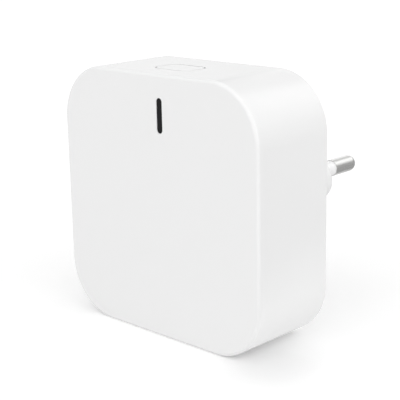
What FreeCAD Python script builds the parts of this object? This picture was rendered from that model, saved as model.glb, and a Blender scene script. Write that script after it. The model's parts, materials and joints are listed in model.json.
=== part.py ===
import FreeCAD, Part
import Sketcher
import math
import os
import re

# Plug-in gateway: a rounded square housing that plugs straight into a mains socket.
# Millimetres. X runs to the right of the front face, Y from the front to the back, Z up.
# The origin is the middle of the flat underside.

SIZES = {
    # Housing outside
    "width": 60.0,
    "height": 60.0,
    "depth": 22.5,
    "corner_radius": 13.0,
    "front_edge_radius": 0.8,
    "rear_edge_chamfer": 0.3,
    # Housing walls
    "wall": 2.0,
    "front_wall": 2.0,
    "rear_lip": 1.1,
    # Rear cover
    "cover_thick": 2.0,
    "cover_gap": 0.12,
    "cover_edge_chamfer": 0.25,
    "rib_thick": 1.0,
    "rib_tall": 1.6,
    "rib_long": 14.0,
    # Snap hooks of the rear cover
    "hook_spread": 12.5,
    "hook_wide": 4.5,
    "hook_thick": 1.2,
    "hook_long": 6.0,
    "hook_gap": 0.15,
    "catch_deep": 0.6,
    "catch_long": 1.6,
    "catch_pocket": 0.8,
    # Plug boss
    "plug_rise": 1.2,
    "boss_wide": 35.3,
    "boss_tall": 13.7,
    "boss_flat": 26.1,
    "boss_nose": 5.0,
    "boss_deep": 18.4,
    "boss_wall": 2.0,
    "boss_end_wall": 3.0,
    "boss_end_radius": 0.9,
    "boss_root_bevel": 0.5,
    # Plug pins and sleeves
    "pin_pitch": 18.6,
    "pin_tip_pitch": 17.5,
    "pin_long": 19.0,
    "pin_radius": 2.0,
    "pin_core_radius": 1.5,
    "sleeve_long": 10.0,
    "sleeve_radius": 1.84,
    "sleeve_gap": 0.02,
    "pin_hole_gap": 0.04,
    "pin_hole_edge": 0.25,
    "collar_radius": 3.2,
    "collar_thick": 1.2,
    "tail_radius": 1.4,
    "tail_long": 5.0,
    "seat_gap": 0.12,
    # Pin retainer and contact strips
    "retainer_thick": 2.5,
    "retainer_gap": 0.1,
    "retainer_hole_gap": 0.25,
    "strip_thick": 0.6,
    "strip_wide": 3.0,
    "strip_foot": 2.0,
    "strip_reach": 1.5,
    # Light slot, window and guide
    "slot_wide": 1.7,
    "slot_long": 7.8,
    "slot_drop": 5.2,
    "slot_offset": 1.8,
    "window_gap": 0.05,
    "window_recess": 0.1,
    "window_rim": 1.2,
    "window_flange": 0.8,
    "guide_gap": 0.15,
    "guide_frame_wall": 0.8,
    "guide_frame_tall": 2.0,
    # Push button
    "button_wide": 10.5,
    "button_deep": 6.8,
    "button_corner": 2.0,
    "button_offset": -1.1,
    "button_setback": 9.6,
    "button_gap": 0.35,
    "button_flange_rim": 1.0,
    "button_flange_thick": 1.0,
    "button_flange_gap": 0.1,
    "stem_radius": 1.6,
    # Tact switch
    "switch_wide": 6.0,
    "switch_thick": 3.6,
    "switch_overhang": 2.9,
    "switch_drop": 8.0,
    "plunger_radius": 1.7,
    "plunger_stand": 2.2,
    "plunger_sunk": 1.0,
    "plunger_hole_deep": 1.7,
    "plunger_gap": 0.1,
    # Boards
    "board_margin": 2.0,
    "board_thick": 1.0,
    "standoff": 3.0,
    "board_boss_radius": 2.5,
    "peg_radius": 0.8,
    "peg_gap": 0.1,
    "peg_stand": 0.5,
    "board_hold_side": 10.0,
    "board_hold_top": 12.0,
    "board_hold_low": 11.5,
    "peg_low": 7.5,
    "power_board_gap": 1.65,
    "power_board_tall": 36.0,
    "power_board_thick": 1.6,
    "post_radius": 2.5,
    "post_tall": 2.2,
    "post_inset": 3.0,
    # Self-tapping screws of both boards
    "screw_radius": 1.0,
    "screw_long": 4.0,
    "screw_head_radius": 1.8,
    "screw_head_tall": 1.3,
    "screw_hole_gap": 0.2,
    "screw_bore_gap": 0.04,
    "screw_spare": 0.4,
    # Radio modules
    "module_thick": 0.8,
    "module_side": 15.5,
    "shield_skin": 0.2,
    "network_module_wide": 16.0,
    "network_module_tall": 24.0,
    "network_module_drop": 6.0,
    "network_shield_wide": 14.0,
    "network_shield_tall": 15.0,
    "network_shield_high": 2.0,
    "network_shield_drop": 3.5,
    "mesh_module_wide": 13.0,
    "mesh_module_tall": 17.0,
    "mesh_module_drop": 4.5,
    "mesh_shield_wide": 11.0,
    "mesh_shield_tall": 11.0,
    "mesh_shield_high": 1.8,
    "mesh_shield_drop": 2.0,
    # Chips and light sources
    "led_wide": 1.6,
    "led_long": 0.8,
    "led_tall": 0.6,
    "chip_wide": 3.9,
    "chip_long": 4.9,
    "chip_high": 1.5,
    "memory_side": 5.2,
    "memory_high": 1.8,
    "memory_drop": 21.0,
    "regulator_side": 13.0,
    "regulator_drop": 18.0,
    "crystal_wide": 3.2,
    "crystal_long": 2.5,
    "crystal_high": 0.8,
    "crystal_drop": 29.0,
    "lead_thick": 0.2,
    "lead_wide": 0.4,
    "lead_reach": 0.9,
    "lead_pitch": 1.27,
    # Header between the boards
    "link_pitch": 2.54,
    "link_pin_side": 0.64,
    "link_hole_gap": 0.08,
    "link_base_tall": 2.5,
    "link_pin_sunk": 6.0,
    "link_side": 1.0,
    "link_drop": 11.5,
    # Mains converter
    "part_clearance": 1.2,
    "bulk_long": 12.0,
    "bulk_gap": 0.3,
    "bulk_side": 12.5,
    "output_can_radius": 3.15,
    "output_side": 4.0,
    "output_rise": 11.0,
    "choke_radius": 2.5,
    "choke_waist": 1.8,
    "choke_rim": 1.0,
    "choke_side": 0.5,
    "choke_rise": 4.0,
    "control_rise": 13.0,
    "core_wide": 11.0,
    "core_thick": 4.6,
    "core_leg": 2.6,
    "core_yoke": 1.4,
    "winding_thick": 2.0,
    "winding_gap": 0.06,
    "bobbin_base": 1.2,
    "bobbin_side": 10.6,
    "transformer_side": 14.0,
    "transformer_rise": 9.0,
    "fuse_radius": 1.75,
    "fuse_long": 9.0,
    "fuse_side": 13.5,
    "fuse_drop": 5.5,
    "disc_thick": 3.4,
    "varistor_side": 4.0,
    "varistor_drop": 6.0,
    "safety_side": 7.0,
    "safety_drop": 4.0,
    "bridge_wide": 4.0,
    "bridge_long": 4.7,
    "bridge_high": 2.5,
    "bridge_side": 13.0,
    "bridge_drop": 12.0,
    "diode_wide": 2.7,
    "diode_long": 4.5,
    "diode_high": 2.2,
    "diode_side": 5.0,
    "diode_rise": 2.0,
}

doc = FreeCAD.newDocument("PlugInGateway")
sheet = doc.addObject("Spreadsheet::Sheet", "Sizes")
for row, (alias, number) in enumerate(SIZES.items(), 1):
    sheet.set("A%d" % row, alias)
    sheet.set("B%d" % row, str(number))
    sheet.setAlias("B%d" % row, alias)
doc.recompute()

SIZE_WORD = re.compile(r"\b(%s)\b" % "|".join(SIZES))

# Heights and planes that several pieces share
MIDDLE = "(height/2)"
PLUG_Z = "(height/2 + plug_rise)"
FRONT = "(-depth/2)"
REAR = "(depth/2)"
INNER_FRONT = "(front_wall - depth/2)"
INNER_REAR = "(depth/2 - cover_thick)"
BOSS_END = "(depth/2 + boss_deep)"
MAIN_FRONT = "(front_wall - depth/2 + standoff)"
MAIN_REAR = "(front_wall - depth/2 + standoff + board_thick)"
POWER_REAR = "(depth/2 - cover_thick - post_tall)"
POWER_FRONT = "(depth/2 - cover_thick - post_tall - power_board_thick)"
SLOT_Z = "(height - slot_drop - slot_long/2)"
BUTTON_Y = "(button_setback - depth/2)"
SWITCH_TOP = "(height - switch_drop)"
PIN_LEAN = "((pin_pitch - pin_tip_pitch)/2/pin_long)"

# The power board fits between the hooks; what stands on it fills the gap to the main board
POWER_WIDE = "(width - 2*wall - 2*hook_gap - 2*hook_thick - 2*power_board_gap)"
BOARD_GAP = "(%s - %s)" % (POWER_FRONT, MAIN_REAR)
BULK_RADIUS = "((%s - chip_high - part_clearance)/2)" % BOARD_GAP
DISC_RADIUS = "((%s - module_thick - mesh_shield_high - part_clearance)/2)" % BOARD_GAP
CHOKE_TALL = "(%s - memory_high - part_clearance)" % BOARD_GAP
CORE_TALL = "(%s - bobbin_base - part_clearance)" % BOARD_GAP
OUTPUT_TALL = "(%s - 2*part_clearance)" % BOARD_GAP

# Where the boards are held, in X and Z
HOLD_SIDE = "(width/2 - board_hold_side)"
HOLD_TOP = "(height - board_hold_top)"
MAIN_SCREWS = (("-" + HOLD_SIDE, HOLD_TOP), (HOLD_SIDE, "board_hold_low"))
MAIN_PEGS = ((HOLD_SIDE, HOLD_TOP), ("-" + HOLD_SIDE, "peg_low"))
POST_X = "(%s/2 - post_inset)" % POWER_WIDE
POST_RISE = "(power_board_tall/2 - post_inset)"
POWER_SCREWS = (("-" + POST_X, "(%s + %s)" % (PLUG_Z, POST_RISE)),
                (POST_X, "(%s - %s)" % (PLUG_Z, POST_RISE)))
LINK_PLACE = ("link_side", "(%s - link_drop)" % PLUG_Z)
LINK_COUNT = 4

# How far the end of the plug's flat moves in for each millimetre of inset
CORNER_SHARE = 0.414


def bound(text):
    """The expression with every size name pointing at its cell."""
    return SIZE_WORD.sub(r"Sizes.\1", str(text))


def value(text):
    """The expression's present value."""
    return float(sheet.evalExpression(bound(text)))


def new_body(label):
    body = doc.addObject("PartDesign::Body", label)
    body.Label = label
    return body


def place(item, x="0", y="0", z="0", yaw="0", roll="0"):
    """Binds the item's place, with yaw about Z after roll about X."""
    spot = "vector((%s)*1mm; (%s)*1mm; (%s)*1mm)" % (x, y, z)
    turn = "rotation((%s)*1deg; 0deg; (%s)*1deg)" % (yaw, roll)
    item.setExpression("Placement", bound("placement(%s; %s)" % (spot, turn)))


def sketch_on(body, plane, level="0"):
    """A sketch on one of the body's origin planes, moved to a level along +X, +Y or +Z."""
    support = next(f for f in body.Origin.OriginFeatures if f.Role == plane + "_Plane")
    sketch = body.newObject("Sketcher::SketchObject", "Sketch")
    sketch.AttachmentSupport = [(support, "")]
    sketch.MapMode = "FlatFace"
    sign = "-" if plane == "XZ" else ""
    sketch.setExpression("AttachmentOffset.Base.z", bound("%s(%s)" % (sign, level)))
    return sketch


def bind(sketch, kind, *geometry, to):
    """Adds a constraint and binds its value."""
    index = sketch.addConstraint(Sketcher.Constraint(kind, *geometry, value(to)))
    sketch.setExpression("Constraints[%d]" % index, bound(to))


def pin_point(sketch, curve, point, x, y):
    bind(sketch, "DistanceX", -1, 1, curve, point, to=x)
    bind(sketch, "DistanceY", -1, 1, curve, point, to=y)


def circle(sketch, x, y, radius):
    centre = FreeCAD.Vector(value(x), value(y), 0)
    curve = sketch.addGeometry(Part.Circle(centre, FreeCAD.Vector(0, 0, 1), value(radius)), False)
    pin_point(sketch, curve, 3, x, y)
    bind(sketch, "Radius", curve, to=radius)


def polygon(sketch, points):
    """A closed outline with every corner bound."""
    corners = [FreeCAD.Vector(value(x), value(y), 0) for x, y in points]
    first = sketch.GeometryCount
    count = len(points)
    for index in range(count):
        line = Part.LineSegment(corners[index], corners[(index + 1) % count])
        sketch.addGeometry(line, False)
    for index in range(count):
        following = first + (index + 1) % count
        sketch.addConstraint(Sketcher.Constraint("Coincident", first + index, 2, following, 1))
        pin_point(sketch, first + index, 1, *points[index])


def rectangle(sketch, x, y, wide, tall):
    """A rectangle round the point x, y."""
    left, right = "(%s) - (%s)/2" % (x, wide), "(%s) + (%s)/2" % (x, wide)
    low, high = "(%s) - (%s)/2" % (y, tall), "(%s) + (%s)/2" % (y, tall)
    polygon(sketch, [(left, low), (right, low), (right, high), (left, high)])


def arc_chain(sketch, arcs):
    """Arcs joined by tangent lines: each arc is x, y, radius, first angle, last angle."""
    first = sketch.GeometryCount
    count = len(arcs)
    ends = []
    for x, y, radius, start, stop in arcs:
        centre = FreeCAD.Vector(value(x), value(y), 0)
        ring = Part.Circle(centre, FreeCAD.Vector(0, 0, 1), value(radius))
        arc = Part.ArcOfCircle(ring, math.radians(start), math.radians(stop))
        sketch.addGeometry(arc, False)
        ends.append((arc.StartPoint, arc.EndPoint))
    for index in range(count):
        line = Part.LineSegment(ends[index][1], ends[(index + 1) % count][0])
        sketch.addGeometry(line, False)
    for index, (x, y, radius, start, stop) in enumerate(arcs):
        arc, line = first + index, first + count + index
        following = first + (index + 1) % count
        sketch.addConstraint(Sketcher.Constraint("Tangent", arc, 2, line, 1))
        sketch.addConstraint(Sketcher.Constraint("Tangent", line, 2, following, 1))
        pin_point(sketch, arc, 3, x, y)
        bind(sketch, "Radius", arc, to=radius)


def rounded_rectangle(sketch, x, y, wide, tall, radius):
    """A rectangle with round corners round the point x, y."""
    across = "((%s)/2 - (%s))" % (wide, radius)
    along = "((%s)/2 - (%s))" % (tall, radius)
    arcs = []
    for side, rise, start in (("+", "+", 0), ("-", "+", 90), ("-", "-", 180), ("+", "-", 270)):
        centre = ("(%s) %s %s" % (x, side, across), "(%s) %s %s" % (y, rise, along))
        arcs.append(centre + (radius, start, start + 90))
    arc_chain(sketch, arcs)


def upright_slot(sketch, x, y, wide, tall):
    """A slot with fully round ends, its length along the sketch's second axis."""
    radius = "(%s)/2" % wide
    half = "((%s)/2 - (%s)/2)" % (tall, wide)
    arc_chain(sketch, [(x, "(%s) + %s" % (y, half), radius, 0, 180),
                       (x, "(%s) - %s" % (y, half), radius, 180, 360)])


def extrude(kind, sketch, length, name, backwards=False):
    """A pad or pocket of the sketch in its own body."""
    feature = sketch.getParentGeoFeatureGroup().newObject("PartDesign::" + kind, name)
    feature.Profile = sketch
    feature.setExpression("Length", bound(length))
    feature.Reversed = backwards
    return feature


def pad(sketch, length, name, backwards=False):
    return extrude("Pad", sketch, length, name, backwards)


def pocket(sketch, length, name, backwards=False):
    return extrude("Pocket", sketch, length, name, backwards)


def revolve(sketch, name):
    """Turns the sketch round its own vertical axis."""
    feature = sketch.getParentGeoFeatureGroup().newObject("PartDesign::Revolution", name)
    feature.Profile = sketch
    feature.ReferenceAxis = (sketch, ["V_Axis"])
    feature.Angle = 360
    return feature


def dress(kind, body, size, chosen, name):
    """A fillet or chamfer on the edges of the body that the test chooses."""
    doc.recompute()
    base = body.Tip
    edges = ["Edge%d" % number for number, edge in enumerate(base.Shape.Edges, 1) if chosen(edge)]
    feature = body.newObject("PartDesign::" + kind, name)
    feature.Base = (base, edges)
    feature.setExpression("Radius" if kind == "Fillet" else "Size", bound(size))
    return feature


def lies_at(axis, level, reach=None):
    """Chooses edges that lie in the plane at the level and, if given, inside the reach."""
    plane = value(level)

    def chosen(edge):
        box = edge.BoundBox
        low, high = getattr(box, axis + "Min"), getattr(box, axis + "Max")
        flat = abs(low - plane) < 0.01 and abs(high - plane) < 0.01
        return flat and (reach is None or reach(box))

    return chosen


def hook_places():
    """Middle of each hook on the housing's inner faces: side, x, z and which way is out."""
    spread = "hook_spread"
    inner_x, inner_z = "(width/2 - wall)", "(height/2 - wall)"
    places = []
    for along in ("+", "-"):
        for out in ("+", "-"):
            places.append(("side", out + inner_x, "%s %s %s" % (MIDDLE, along, spread), out))
            places.append(("level", along + spread, "%s %s %s" % (MIDDLE, out, inner_z), out))
    return places


def rib_places():
    """Middle of each locating rib, between the two hooks of a wall."""
    walls = []
    for out in ("+", "-"):
        walls.append(("side", out + "(width/2 - wall)", MIDDLE, out))
        walls.append(("level", "0", "%s %s (height/2 - wall)" % (MIDDLE, out), out))
    return walls


def hook_rectangle(sketch, place_on_wall, near, far, wide):
    """A rectangle at a hook, from near to far measured outwards from the housing's inner face."""
    side, x, z, out = place_on_wall
    middle = "%s((%s) + (%s))/2" % (out, near, far)
    thick = "((%s) - (%s))" % (far, near)
    if side == "side":
        rectangle(sketch, "%s + (%s)" % (x, middle), z, thick, wide)
    else:
        rectangle(sketch, x, "%s + (%s)" % (z, middle), wide, thick)


def plug_outline(sketch, inset):
    """The flat two-pole plug's section: flat top and bottom, slanted ends and round noses."""
    flat = "(boss_flat/2 - (%s)*%s)" % (inset, CORNER_SHARE)
    half = "(boss_tall/2 - (%s))" % inset
    nose = "(boss_nose - (%s))" % inset
    nose_x = "(boss_wide/2 - boss_nose)"
    lean = slant_angle(flat, half, nose_x, nose)
    first = sketch.GeometryCount
    corner_x, corner_z = value(flat), value(half)
    middle_z = value(PLUG_Z)
    points = {}
    for side in (1, -1):
        start = 90 * (1 - side) - lean
        ring = Part.Circle(FreeCAD.Vector(side * value(nose_x), middle_z, 0),
                           FreeCAD.Vector(0, 0, 1), value(nose))
        arc = Part.ArcOfCircle(ring, math.radians(start), math.radians(start + 2 * lean))
        sketch.addGeometry(arc, False)
        points[side] = (arc.StartPoint, arc.EndPoint)
    corners = [FreeCAD.Vector(x * corner_x, middle_z + z * corner_z, 0)
               for x, z in ((1, 1), (-1, 1), (-1, -1), (1, -1))]
    runs = [(points[1][1], corners[0]), (corners[0], corners[1]), (corners[1], points[-1][0]),
            (points[-1][1], corners[2]), (corners[2], corners[3]), (corners[3], points[1][0])]
    for start, stop in runs:
        sketch.addGeometry(Part.LineSegment(start, stop), False)
    right, left = first, first + 1
    up_right, top, up_left, low_left, low, low_right = range(first + 2, first + 8)
    for joint in ((right, 2, up_right, 1), (up_left, 2, left, 1),
                  (left, 2, low_left, 1), (low_right, 2, right, 1)):
        sketch.addConstraint(Sketcher.Constraint("Tangent", *joint))
    for joint in ((up_right, 2, top, 1), (top, 2, up_left, 1),
                  (low_left, 2, low, 1), (low, 2, low_right, 1)):
        sketch.addConstraint(Sketcher.Constraint("Coincident", *joint))
    pin_point(sketch, right, 3, nose_x, PLUG_Z)
    pin_point(sketch, left, 3, "-" + nose_x, PLUG_Z)
    bind(sketch, "Radius", right, to=nose)
    bind(sketch, "Radius", left, to=nose)
    pin_point(sketch, top, 1, flat, "%s + %s" % (PLUG_Z, half))
    pin_point(sketch, top, 2, "-" + flat, "%s + %s" % (PLUG_Z, half))
    pin_point(sketch, low, 1, "-" + flat, "%s - %s" % (PLUG_Z, half))
    pin_point(sketch, low, 2, flat, "%s - %s" % (PLUG_Z, half))


def slant_angle(flat, half, nose_x, nose):
    """Direction from the nose's centre to where the slanted line touches it, in degrees."""
    across, up = value(flat) - value(nose_x), value(half)
    reach = math.hypot(across, up)
    return math.degrees(math.atan2(up, across) - math.acos(value(nose) / reach))


def build_front_housing():
    """One-piece moulding: front face, four walls, board bosses and catch pockets."""
    body = new_body("front_housing")
    outline = sketch_on(body, "XZ", REAR)
    rounded_rectangle(outline, "0", MIDDLE, "width", "height", "corner_radius")
    pad(outline, "depth", "Outside")
    dress("Fillet", body, "front_edge_radius", lies_at("Y", FRONT), "FrontEdge")
    dress("Chamfer", body, "rear_edge_chamfer", lies_at("Y", REAR), "RearEdge")
    hollow = sketch_on(body, "XZ", REAR)
    rounded_rectangle(hollow, "0", MIDDLE, "width - 2*wall", "height - 2*wall",
                      "corner_radius - wall")
    pocket(hollow, "depth - front_wall", "Hollow", backwards=True)
    seat = sketch_on(body, "XZ", REAR)
    rounded_rectangle(seat, "0", MIDDLE, "width - 2*rear_lip", "height - 2*rear_lip",
                      "corner_radius - rear_lip")
    pocket(seat, "cover_thick", "CoverSeat", backwards=True)
    catches = sketch_on(body, "XZ", "%s - hook_long + catch_long + hook_gap" % INNER_REAR)
    for spot in hook_places():
        hook_rectangle(catches, spot, "-0.5", "catch_pocket", "hook_wide + 4*hook_gap")
    pocket(catches, "catch_long + 3*hook_gap", "CatchPockets", backwards=True)
    slot = sketch_on(body, "XZ", FRONT)
    upright_slot(slot, "slot_offset", SLOT_Z, "slot_wide", "slot_long")
    pocket(slot, "front_wall", "LightSlot")
    frame = sketch_on(body, "XZ", INNER_FRONT)
    rim = "slot_wide + 2*window_rim + 2*guide_gap"
    rim_tall = "slot_long + 2*window_rim + 2*guide_gap"
    rectangle(frame, "slot_offset", SLOT_Z, rim + " + 2*guide_frame_wall",
              rim_tall + " + 2*guide_frame_wall")
    rectangle(frame, "slot_offset", SLOT_Z, rim, rim_tall)
    pad(frame, "guide_frame_tall", "GuideFrame", backwards=True)
    hole = sketch_on(body, "XY", "height")
    rounded_rectangle(hole, "button_offset", BUTTON_Y, "button_wide + 2*button_gap",
                      "button_deep + 2*button_gap", "button_corner + button_gap")
    pocket(hole, "wall", "ButtonHole")
    bosses = sketch_on(body, "XZ", INNER_FRONT)
    for x, z in MAIN_SCREWS + MAIN_PEGS:
        circle(bosses, x, z, "board_boss_radius")
    pad(bosses, "standoff", "BoardBosses", backwards=True)
    bores = sketch_on(body, "XZ", MAIN_FRONT)
    for x, z in MAIN_SCREWS:
        circle(bores, x, z, "screw_radius + screw_bore_gap")
    pocket(bores, "screw_long - board_thick + screw_spare", "ScrewBores", backwards=True)
    pegs = sketch_on(body, "XZ", MAIN_FRONT)
    for x, z in MAIN_PEGS:
        circle(pegs, x, z, "peg_radius")
    pad(pegs, "board_thick + peg_stand", "Pegs", backwards=True)
    return body


def build_rear_cover():
    """Plate in the housing's rear opening with the plug boss, the hooks and the posts."""
    body = new_body("rear_cover")
    plate = sketch_on(body, "XZ", REAR)
    inset = "(rear_lip + cover_gap)"
    rounded_rectangle(plate, "0", MIDDLE, "width - 2*%s" % inset, "height - 2*%s" % inset,
                      "corner_radius - %s" % inset)
    pad(plate, "cover_thick", "Plate")
    dress("Chamfer", body, "cover_edge_chamfer", lies_at("Y", REAR), "PlateEdge")
    boss = sketch_on(body, "XZ", REAR)
    plug_outline(boss, "0")
    pad(boss, "boss_deep", "PlugBoss", backwards=True)
    dress("Fillet", body, "boss_end_radius", lies_at("Y", BOSS_END), "BossEnd")
    root = lies_at("Y", REAR, boss_reach())
    dress("Chamfer", body, "boss_root_bevel", root, "BossRoot")
    cavity = sketch_on(body, "XZ", INNER_REAR)
    plug_outline(cavity, "boss_wall")
    pocket(cavity, "cover_thick + boss_deep - boss_end_wall", "PlugCavity")
    ribs = sketch_on(body, "XZ", INNER_REAR)
    for spot in rib_places():
        hook_rectangle(ribs, spot, "-hook_gap - rib_thick", "-hook_gap", "rib_long")
    pad(ribs, "rib_tall", "LocatingRibs")
    arms = sketch_on(body, "XZ", INNER_REAR)
    for spot in hook_places():
        hook_rectangle(arms, spot, "-hook_gap - hook_thick", "-hook_gap", "hook_wide")
    pad(arms, "hook_long", "HookArms")
    catches = sketch_on(body, "XZ", "%s - hook_long + catch_long" % INNER_REAR)
    for spot in hook_places():
        hook_rectangle(catches, spot, "-hook_gap - hook_thick/2", "catch_deep - hook_gap",
                       "hook_wide")
    pad(catches, "catch_long", "HookCatches")
    lead_in = lies_at("Y", "%s - hook_long" % INNER_REAR, catch_reach())
    dress("Chamfer", body, "catch_deep - 0.05", lead_in, "LeadIn")
    posts = sketch_on(body, "XZ", INNER_REAR)
    for x, z in POWER_SCREWS:
        circle(posts, x, z, "post_radius")
    pad(posts, "post_tall", "Posts")
    bores = sketch_on(body, "XZ", POWER_REAR)
    for x, z in POWER_SCREWS:
        circle(bores, x, z, "screw_radius + screw_bore_gap")
    pocket(bores, "screw_long - power_board_thick + screw_spare", "PostBores")
    for side, name in ((1, "PinHoleRight"), (-1, "PinHoleLeft")):
        hole = body.newObject("PartDesign::SubtractiveCylinder", name)
        hole.setExpression("Radius", bound("sleeve_radius + pin_hole_gap"))
        hole.setExpression("Height", bound("boss_end_wall + 2"))
        hole.setExpression("Placement", bound(pin_placement(side, "-boss_end_wall - 1")))
    mouths = lies_at("Y", BOSS_END, pin_hole_reach())
    dress("Chamfer", body, "pin_hole_edge", mouths, "PinHoleEdges")
    return body


def boss_reach():
    """Tells whether an edge's box lies within the plug boss."""
    half_wide, half_tall = value("boss_wide/2") + 0.01, value("boss_tall/2") + 0.01
    middle = value(PLUG_Z)

    def within(box):
        rise = max(abs(box.ZMin - middle), abs(box.ZMax - middle))
        return max(abs(box.XMin), abs(box.XMax)) < half_wide and rise < half_tall

    return within


def pin_hole_reach():
    """Tells whether an edge's box is no larger than a pin hole."""
    largest = 2 * value("sleeve_radius + pin_hole_gap") + 0.1
    return lambda box: box.XLength < largest and box.ZLength < largest


def catch_reach():
    """Tells whether an edge is the outer front edge of a catch."""
    out_x = value("width/2 - wall - hook_gap + catch_deep")
    out_z = value("height/2 - wall - hook_gap + catch_deep")
    middle = value(MIDDLE)

    def outer(box):
        on_side = abs(min(abs(box.XMin), abs(box.XMax)) - out_x) < 0.01
        low, high = abs(box.ZMin - middle), abs(box.ZMax - middle)
        return on_side or abs(min(low, high) - out_z) < 0.01

    return outer


def pin_placement(side, along):
    """Place of a pin's own frame, its Z out of the plug, moved along the pin."""
    lean = "%d*atan(%s)" % (side, PIN_LEAN)
    spot = "vector(%d*pin_pitch/2*1mm; (%s)*1mm; (%s)*1mm)" % (side, BOSS_END, PLUG_Z)
    shift = "placement(vector(0mm; 0mm; (%s)*1mm); rotation(0deg; 0deg; 0deg))" % along
    return "placement(%s; rotation(%s; 0deg; -90deg)) * %s" % (spot, lean, shift)


def build_plug_pin(side, label):
    """Turned pin: bare domed end, slim core under the sleeve, collar and tail."""
    body = new_body(label)
    profile = sketch_on(body, "XZ")
    collar_front = "(-boss_end_wall - seat_gap)"
    collar_back = "(-boss_end_wall - seat_gap - collar_thick)"
    polygon(profile, [
        ("0", "%s - tail_long" % collar_back),
        ("tail_radius", "%s - tail_long" % collar_back),
        ("tail_radius", collar_back),
        ("collar_radius", collar_back),
        ("collar_radius", collar_front),
        ("pin_core_radius", collar_front),
        ("pin_core_radius", "sleeve_long"),
        ("pin_radius", "sleeve_long"),
        ("pin_radius", "pin_long - pin_radius"),
        ("0.8*pin_radius", "pin_long - 0.4*pin_radius"),
        ("0.35*pin_radius", "pin_long"),
        ("0", "pin_long"),
    ])
    revolve(profile, "Turned")
    body.setExpression("Placement", bound(pin_placement(side, "0")))
    return body


def build_pin_sleeve(side, label):
    """Insulating sleeve round the slim part of a pin."""
    body = new_body(label)
    profile = sketch_on(body, "XZ")
    bore = "pin_core_radius + sleeve_gap"
    polygon(profile, [(bore, "-boss_end_wall"), ("sleeve_radius", "-boss_end_wall"),
                      ("sleeve_radius", "sleeve_long - sleeve_gap"),
                      (bore, "sleeve_long - sleeve_gap")])
    revolve(profile, "Sleeve")
    body.setExpression("Placement", bound(pin_placement(side, "0")))
    return body


def pin_offset(distance):
    """How far a pin's axis is from the middle, at a distance inside the plug's end face."""
    return "(pin_pitch/2 + (%s)*%s)" % (distance, PIN_LEAN)


def build_pin_retainer():
    """Plate pressed into the plug boss behind the pins' collars."""
    body = new_body("pin_retainer")
    depth_in = "(boss_end_wall + 2*seat_gap + collar_thick)"
    plate = sketch_on(body, "XZ", "%s - %s" % (BOSS_END, depth_in))
    plug_outline(plate, "(boss_wall + retainer_gap)")
    for side in ("", "-"):
        circle(plate, side + pin_offset("%s + retainer_thick/2" % depth_in), PLUG_Z,
               "tail_radius + retainer_hole_gap")
    pad(plate, "retainer_thick", "Retainer")
    return body


def build_contact_strip(side, label):
    """Bent strip from a pin's tail to the solder pad on the power board."""
    body = new_body(label)
    tail_depth = "(boss_end_wall + seat_gap + collar_thick + tail_long + seat_gap)"
    axis = pin_offset(tail_depth)
    sign = "" if side > 0 else "-"
    tail_end = "(%s - %s)" % (BOSS_END, tail_depth)
    leg_in, leg_out = "%s + strip_reach" % axis, "%s + strip_reach + strip_thick" % axis
    outline = [
        ("%s - strip_reach" % axis, tail_end),
        (leg_out, tail_end),
        (leg_out, "%s + strip_thick" % POWER_REAR),
        ("%s + strip_foot" % leg_out, "%s + strip_thick" % POWER_REAR),
        ("%s + strip_foot" % leg_out, POWER_REAR),
        (leg_in, POWER_REAR),
        (leg_in, "%s - strip_thick" % tail_end),
        ("%s - strip_reach" % axis, "%s - strip_thick" % tail_end),
    ]
    profile = sketch_on(body, "XY", "%s - strip_wide/2" % PLUG_Z)
    polygon(profile, [("%s(%s)" % (sign, x), y) for x, y in outline])
    pad(profile, "strip_wide", "Strip")
    return body


def build_light_window():
    """Smoked lens: a tongue that fills the slot and a flange behind the front wall."""
    body = new_body("light_window")
    tongue = sketch_on(body, "XZ", "%s + window_recess" % FRONT)
    upright_slot(tongue, "slot_offset", SLOT_Z, "slot_wide - 2*window_gap",
                 "slot_long - 2*window_gap")
    pad(tongue, "front_wall - window_recess", "Tongue", backwards=True)
    flange = sketch_on(body, "XZ", INNER_FRONT)
    rectangle(flange, "slot_offset", SLOT_Z, "slot_wide + 2*window_rim",
              "slot_long + 2*window_rim")
    pad(flange, "window_flange", "Flange", backwards=True)
    return body


def build_light_guide():
    """Clear block between the window and the light sources."""
    body = new_body("light_guide")
    block = sketch_on(body, "XZ", "%s + window_flange" % INNER_FRONT)
    rectangle(block, "slot_offset", SLOT_Z, "slot_wide + 2*window_rim",
              "slot_long + 2*window_rim")
    pad(block, "standoff - window_flange - led_tall - guide_gap", "Guide", backwards=True)
    return body


def build_pair_button():
    """Push button: a cap flush with the top, a flange under the wall and a stem."""
    body = new_body("pair_button")
    cap = sketch_on(body, "XY", "height")
    rounded_rectangle(cap, "button_offset", BUTTON_Y, "button_wide", "button_deep",
                      "button_corner")
    pad(cap, "wall + button_flange_gap", "Cap", backwards=True)
    flange = sketch_on(body, "XY", "height - wall - button_flange_gap")
    rectangle(flange, "button_offset", BUTTON_Y, "button_wide + 2*button_flange_rim",
              "button_deep + 2*button_flange_rim")
    pad(flange, "button_flange_thick", "Flange", backwards=True)
    under = "(height - wall - button_flange_gap - button_flange_thick)"
    stem = sketch_on(body, "XY", under)
    circle(stem, "button_offset", BUTTON_Y, "stem_radius")
    pad(stem, "%s - %s - plunger_stand" % (under, SWITCH_TOP), "Stem", backwards=True)
    return body


def build_tact_switch():
    """Side-acting switch on the main board, with a well for its plunger."""
    body = new_body("tact_switch")
    case = sketch_on(body, "XY", SWITCH_TOP)
    front, back = MAIN_REAR, "(%s + switch_overhang)" % BUTTON_Y
    rectangle(case, "button_offset", "(%s + %s)/2" % (front, back), "switch_wide",
              "(%s - %s)" % (back, front))
    pad(case, "switch_thick", "Case", backwards=True)
    well = sketch_on(body, "XY", SWITCH_TOP)
    circle(well, "button_offset", BUTTON_Y, "plunger_radius + plunger_gap")
    pocket(well, "plunger_hole_deep", "Well")
    return body


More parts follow.
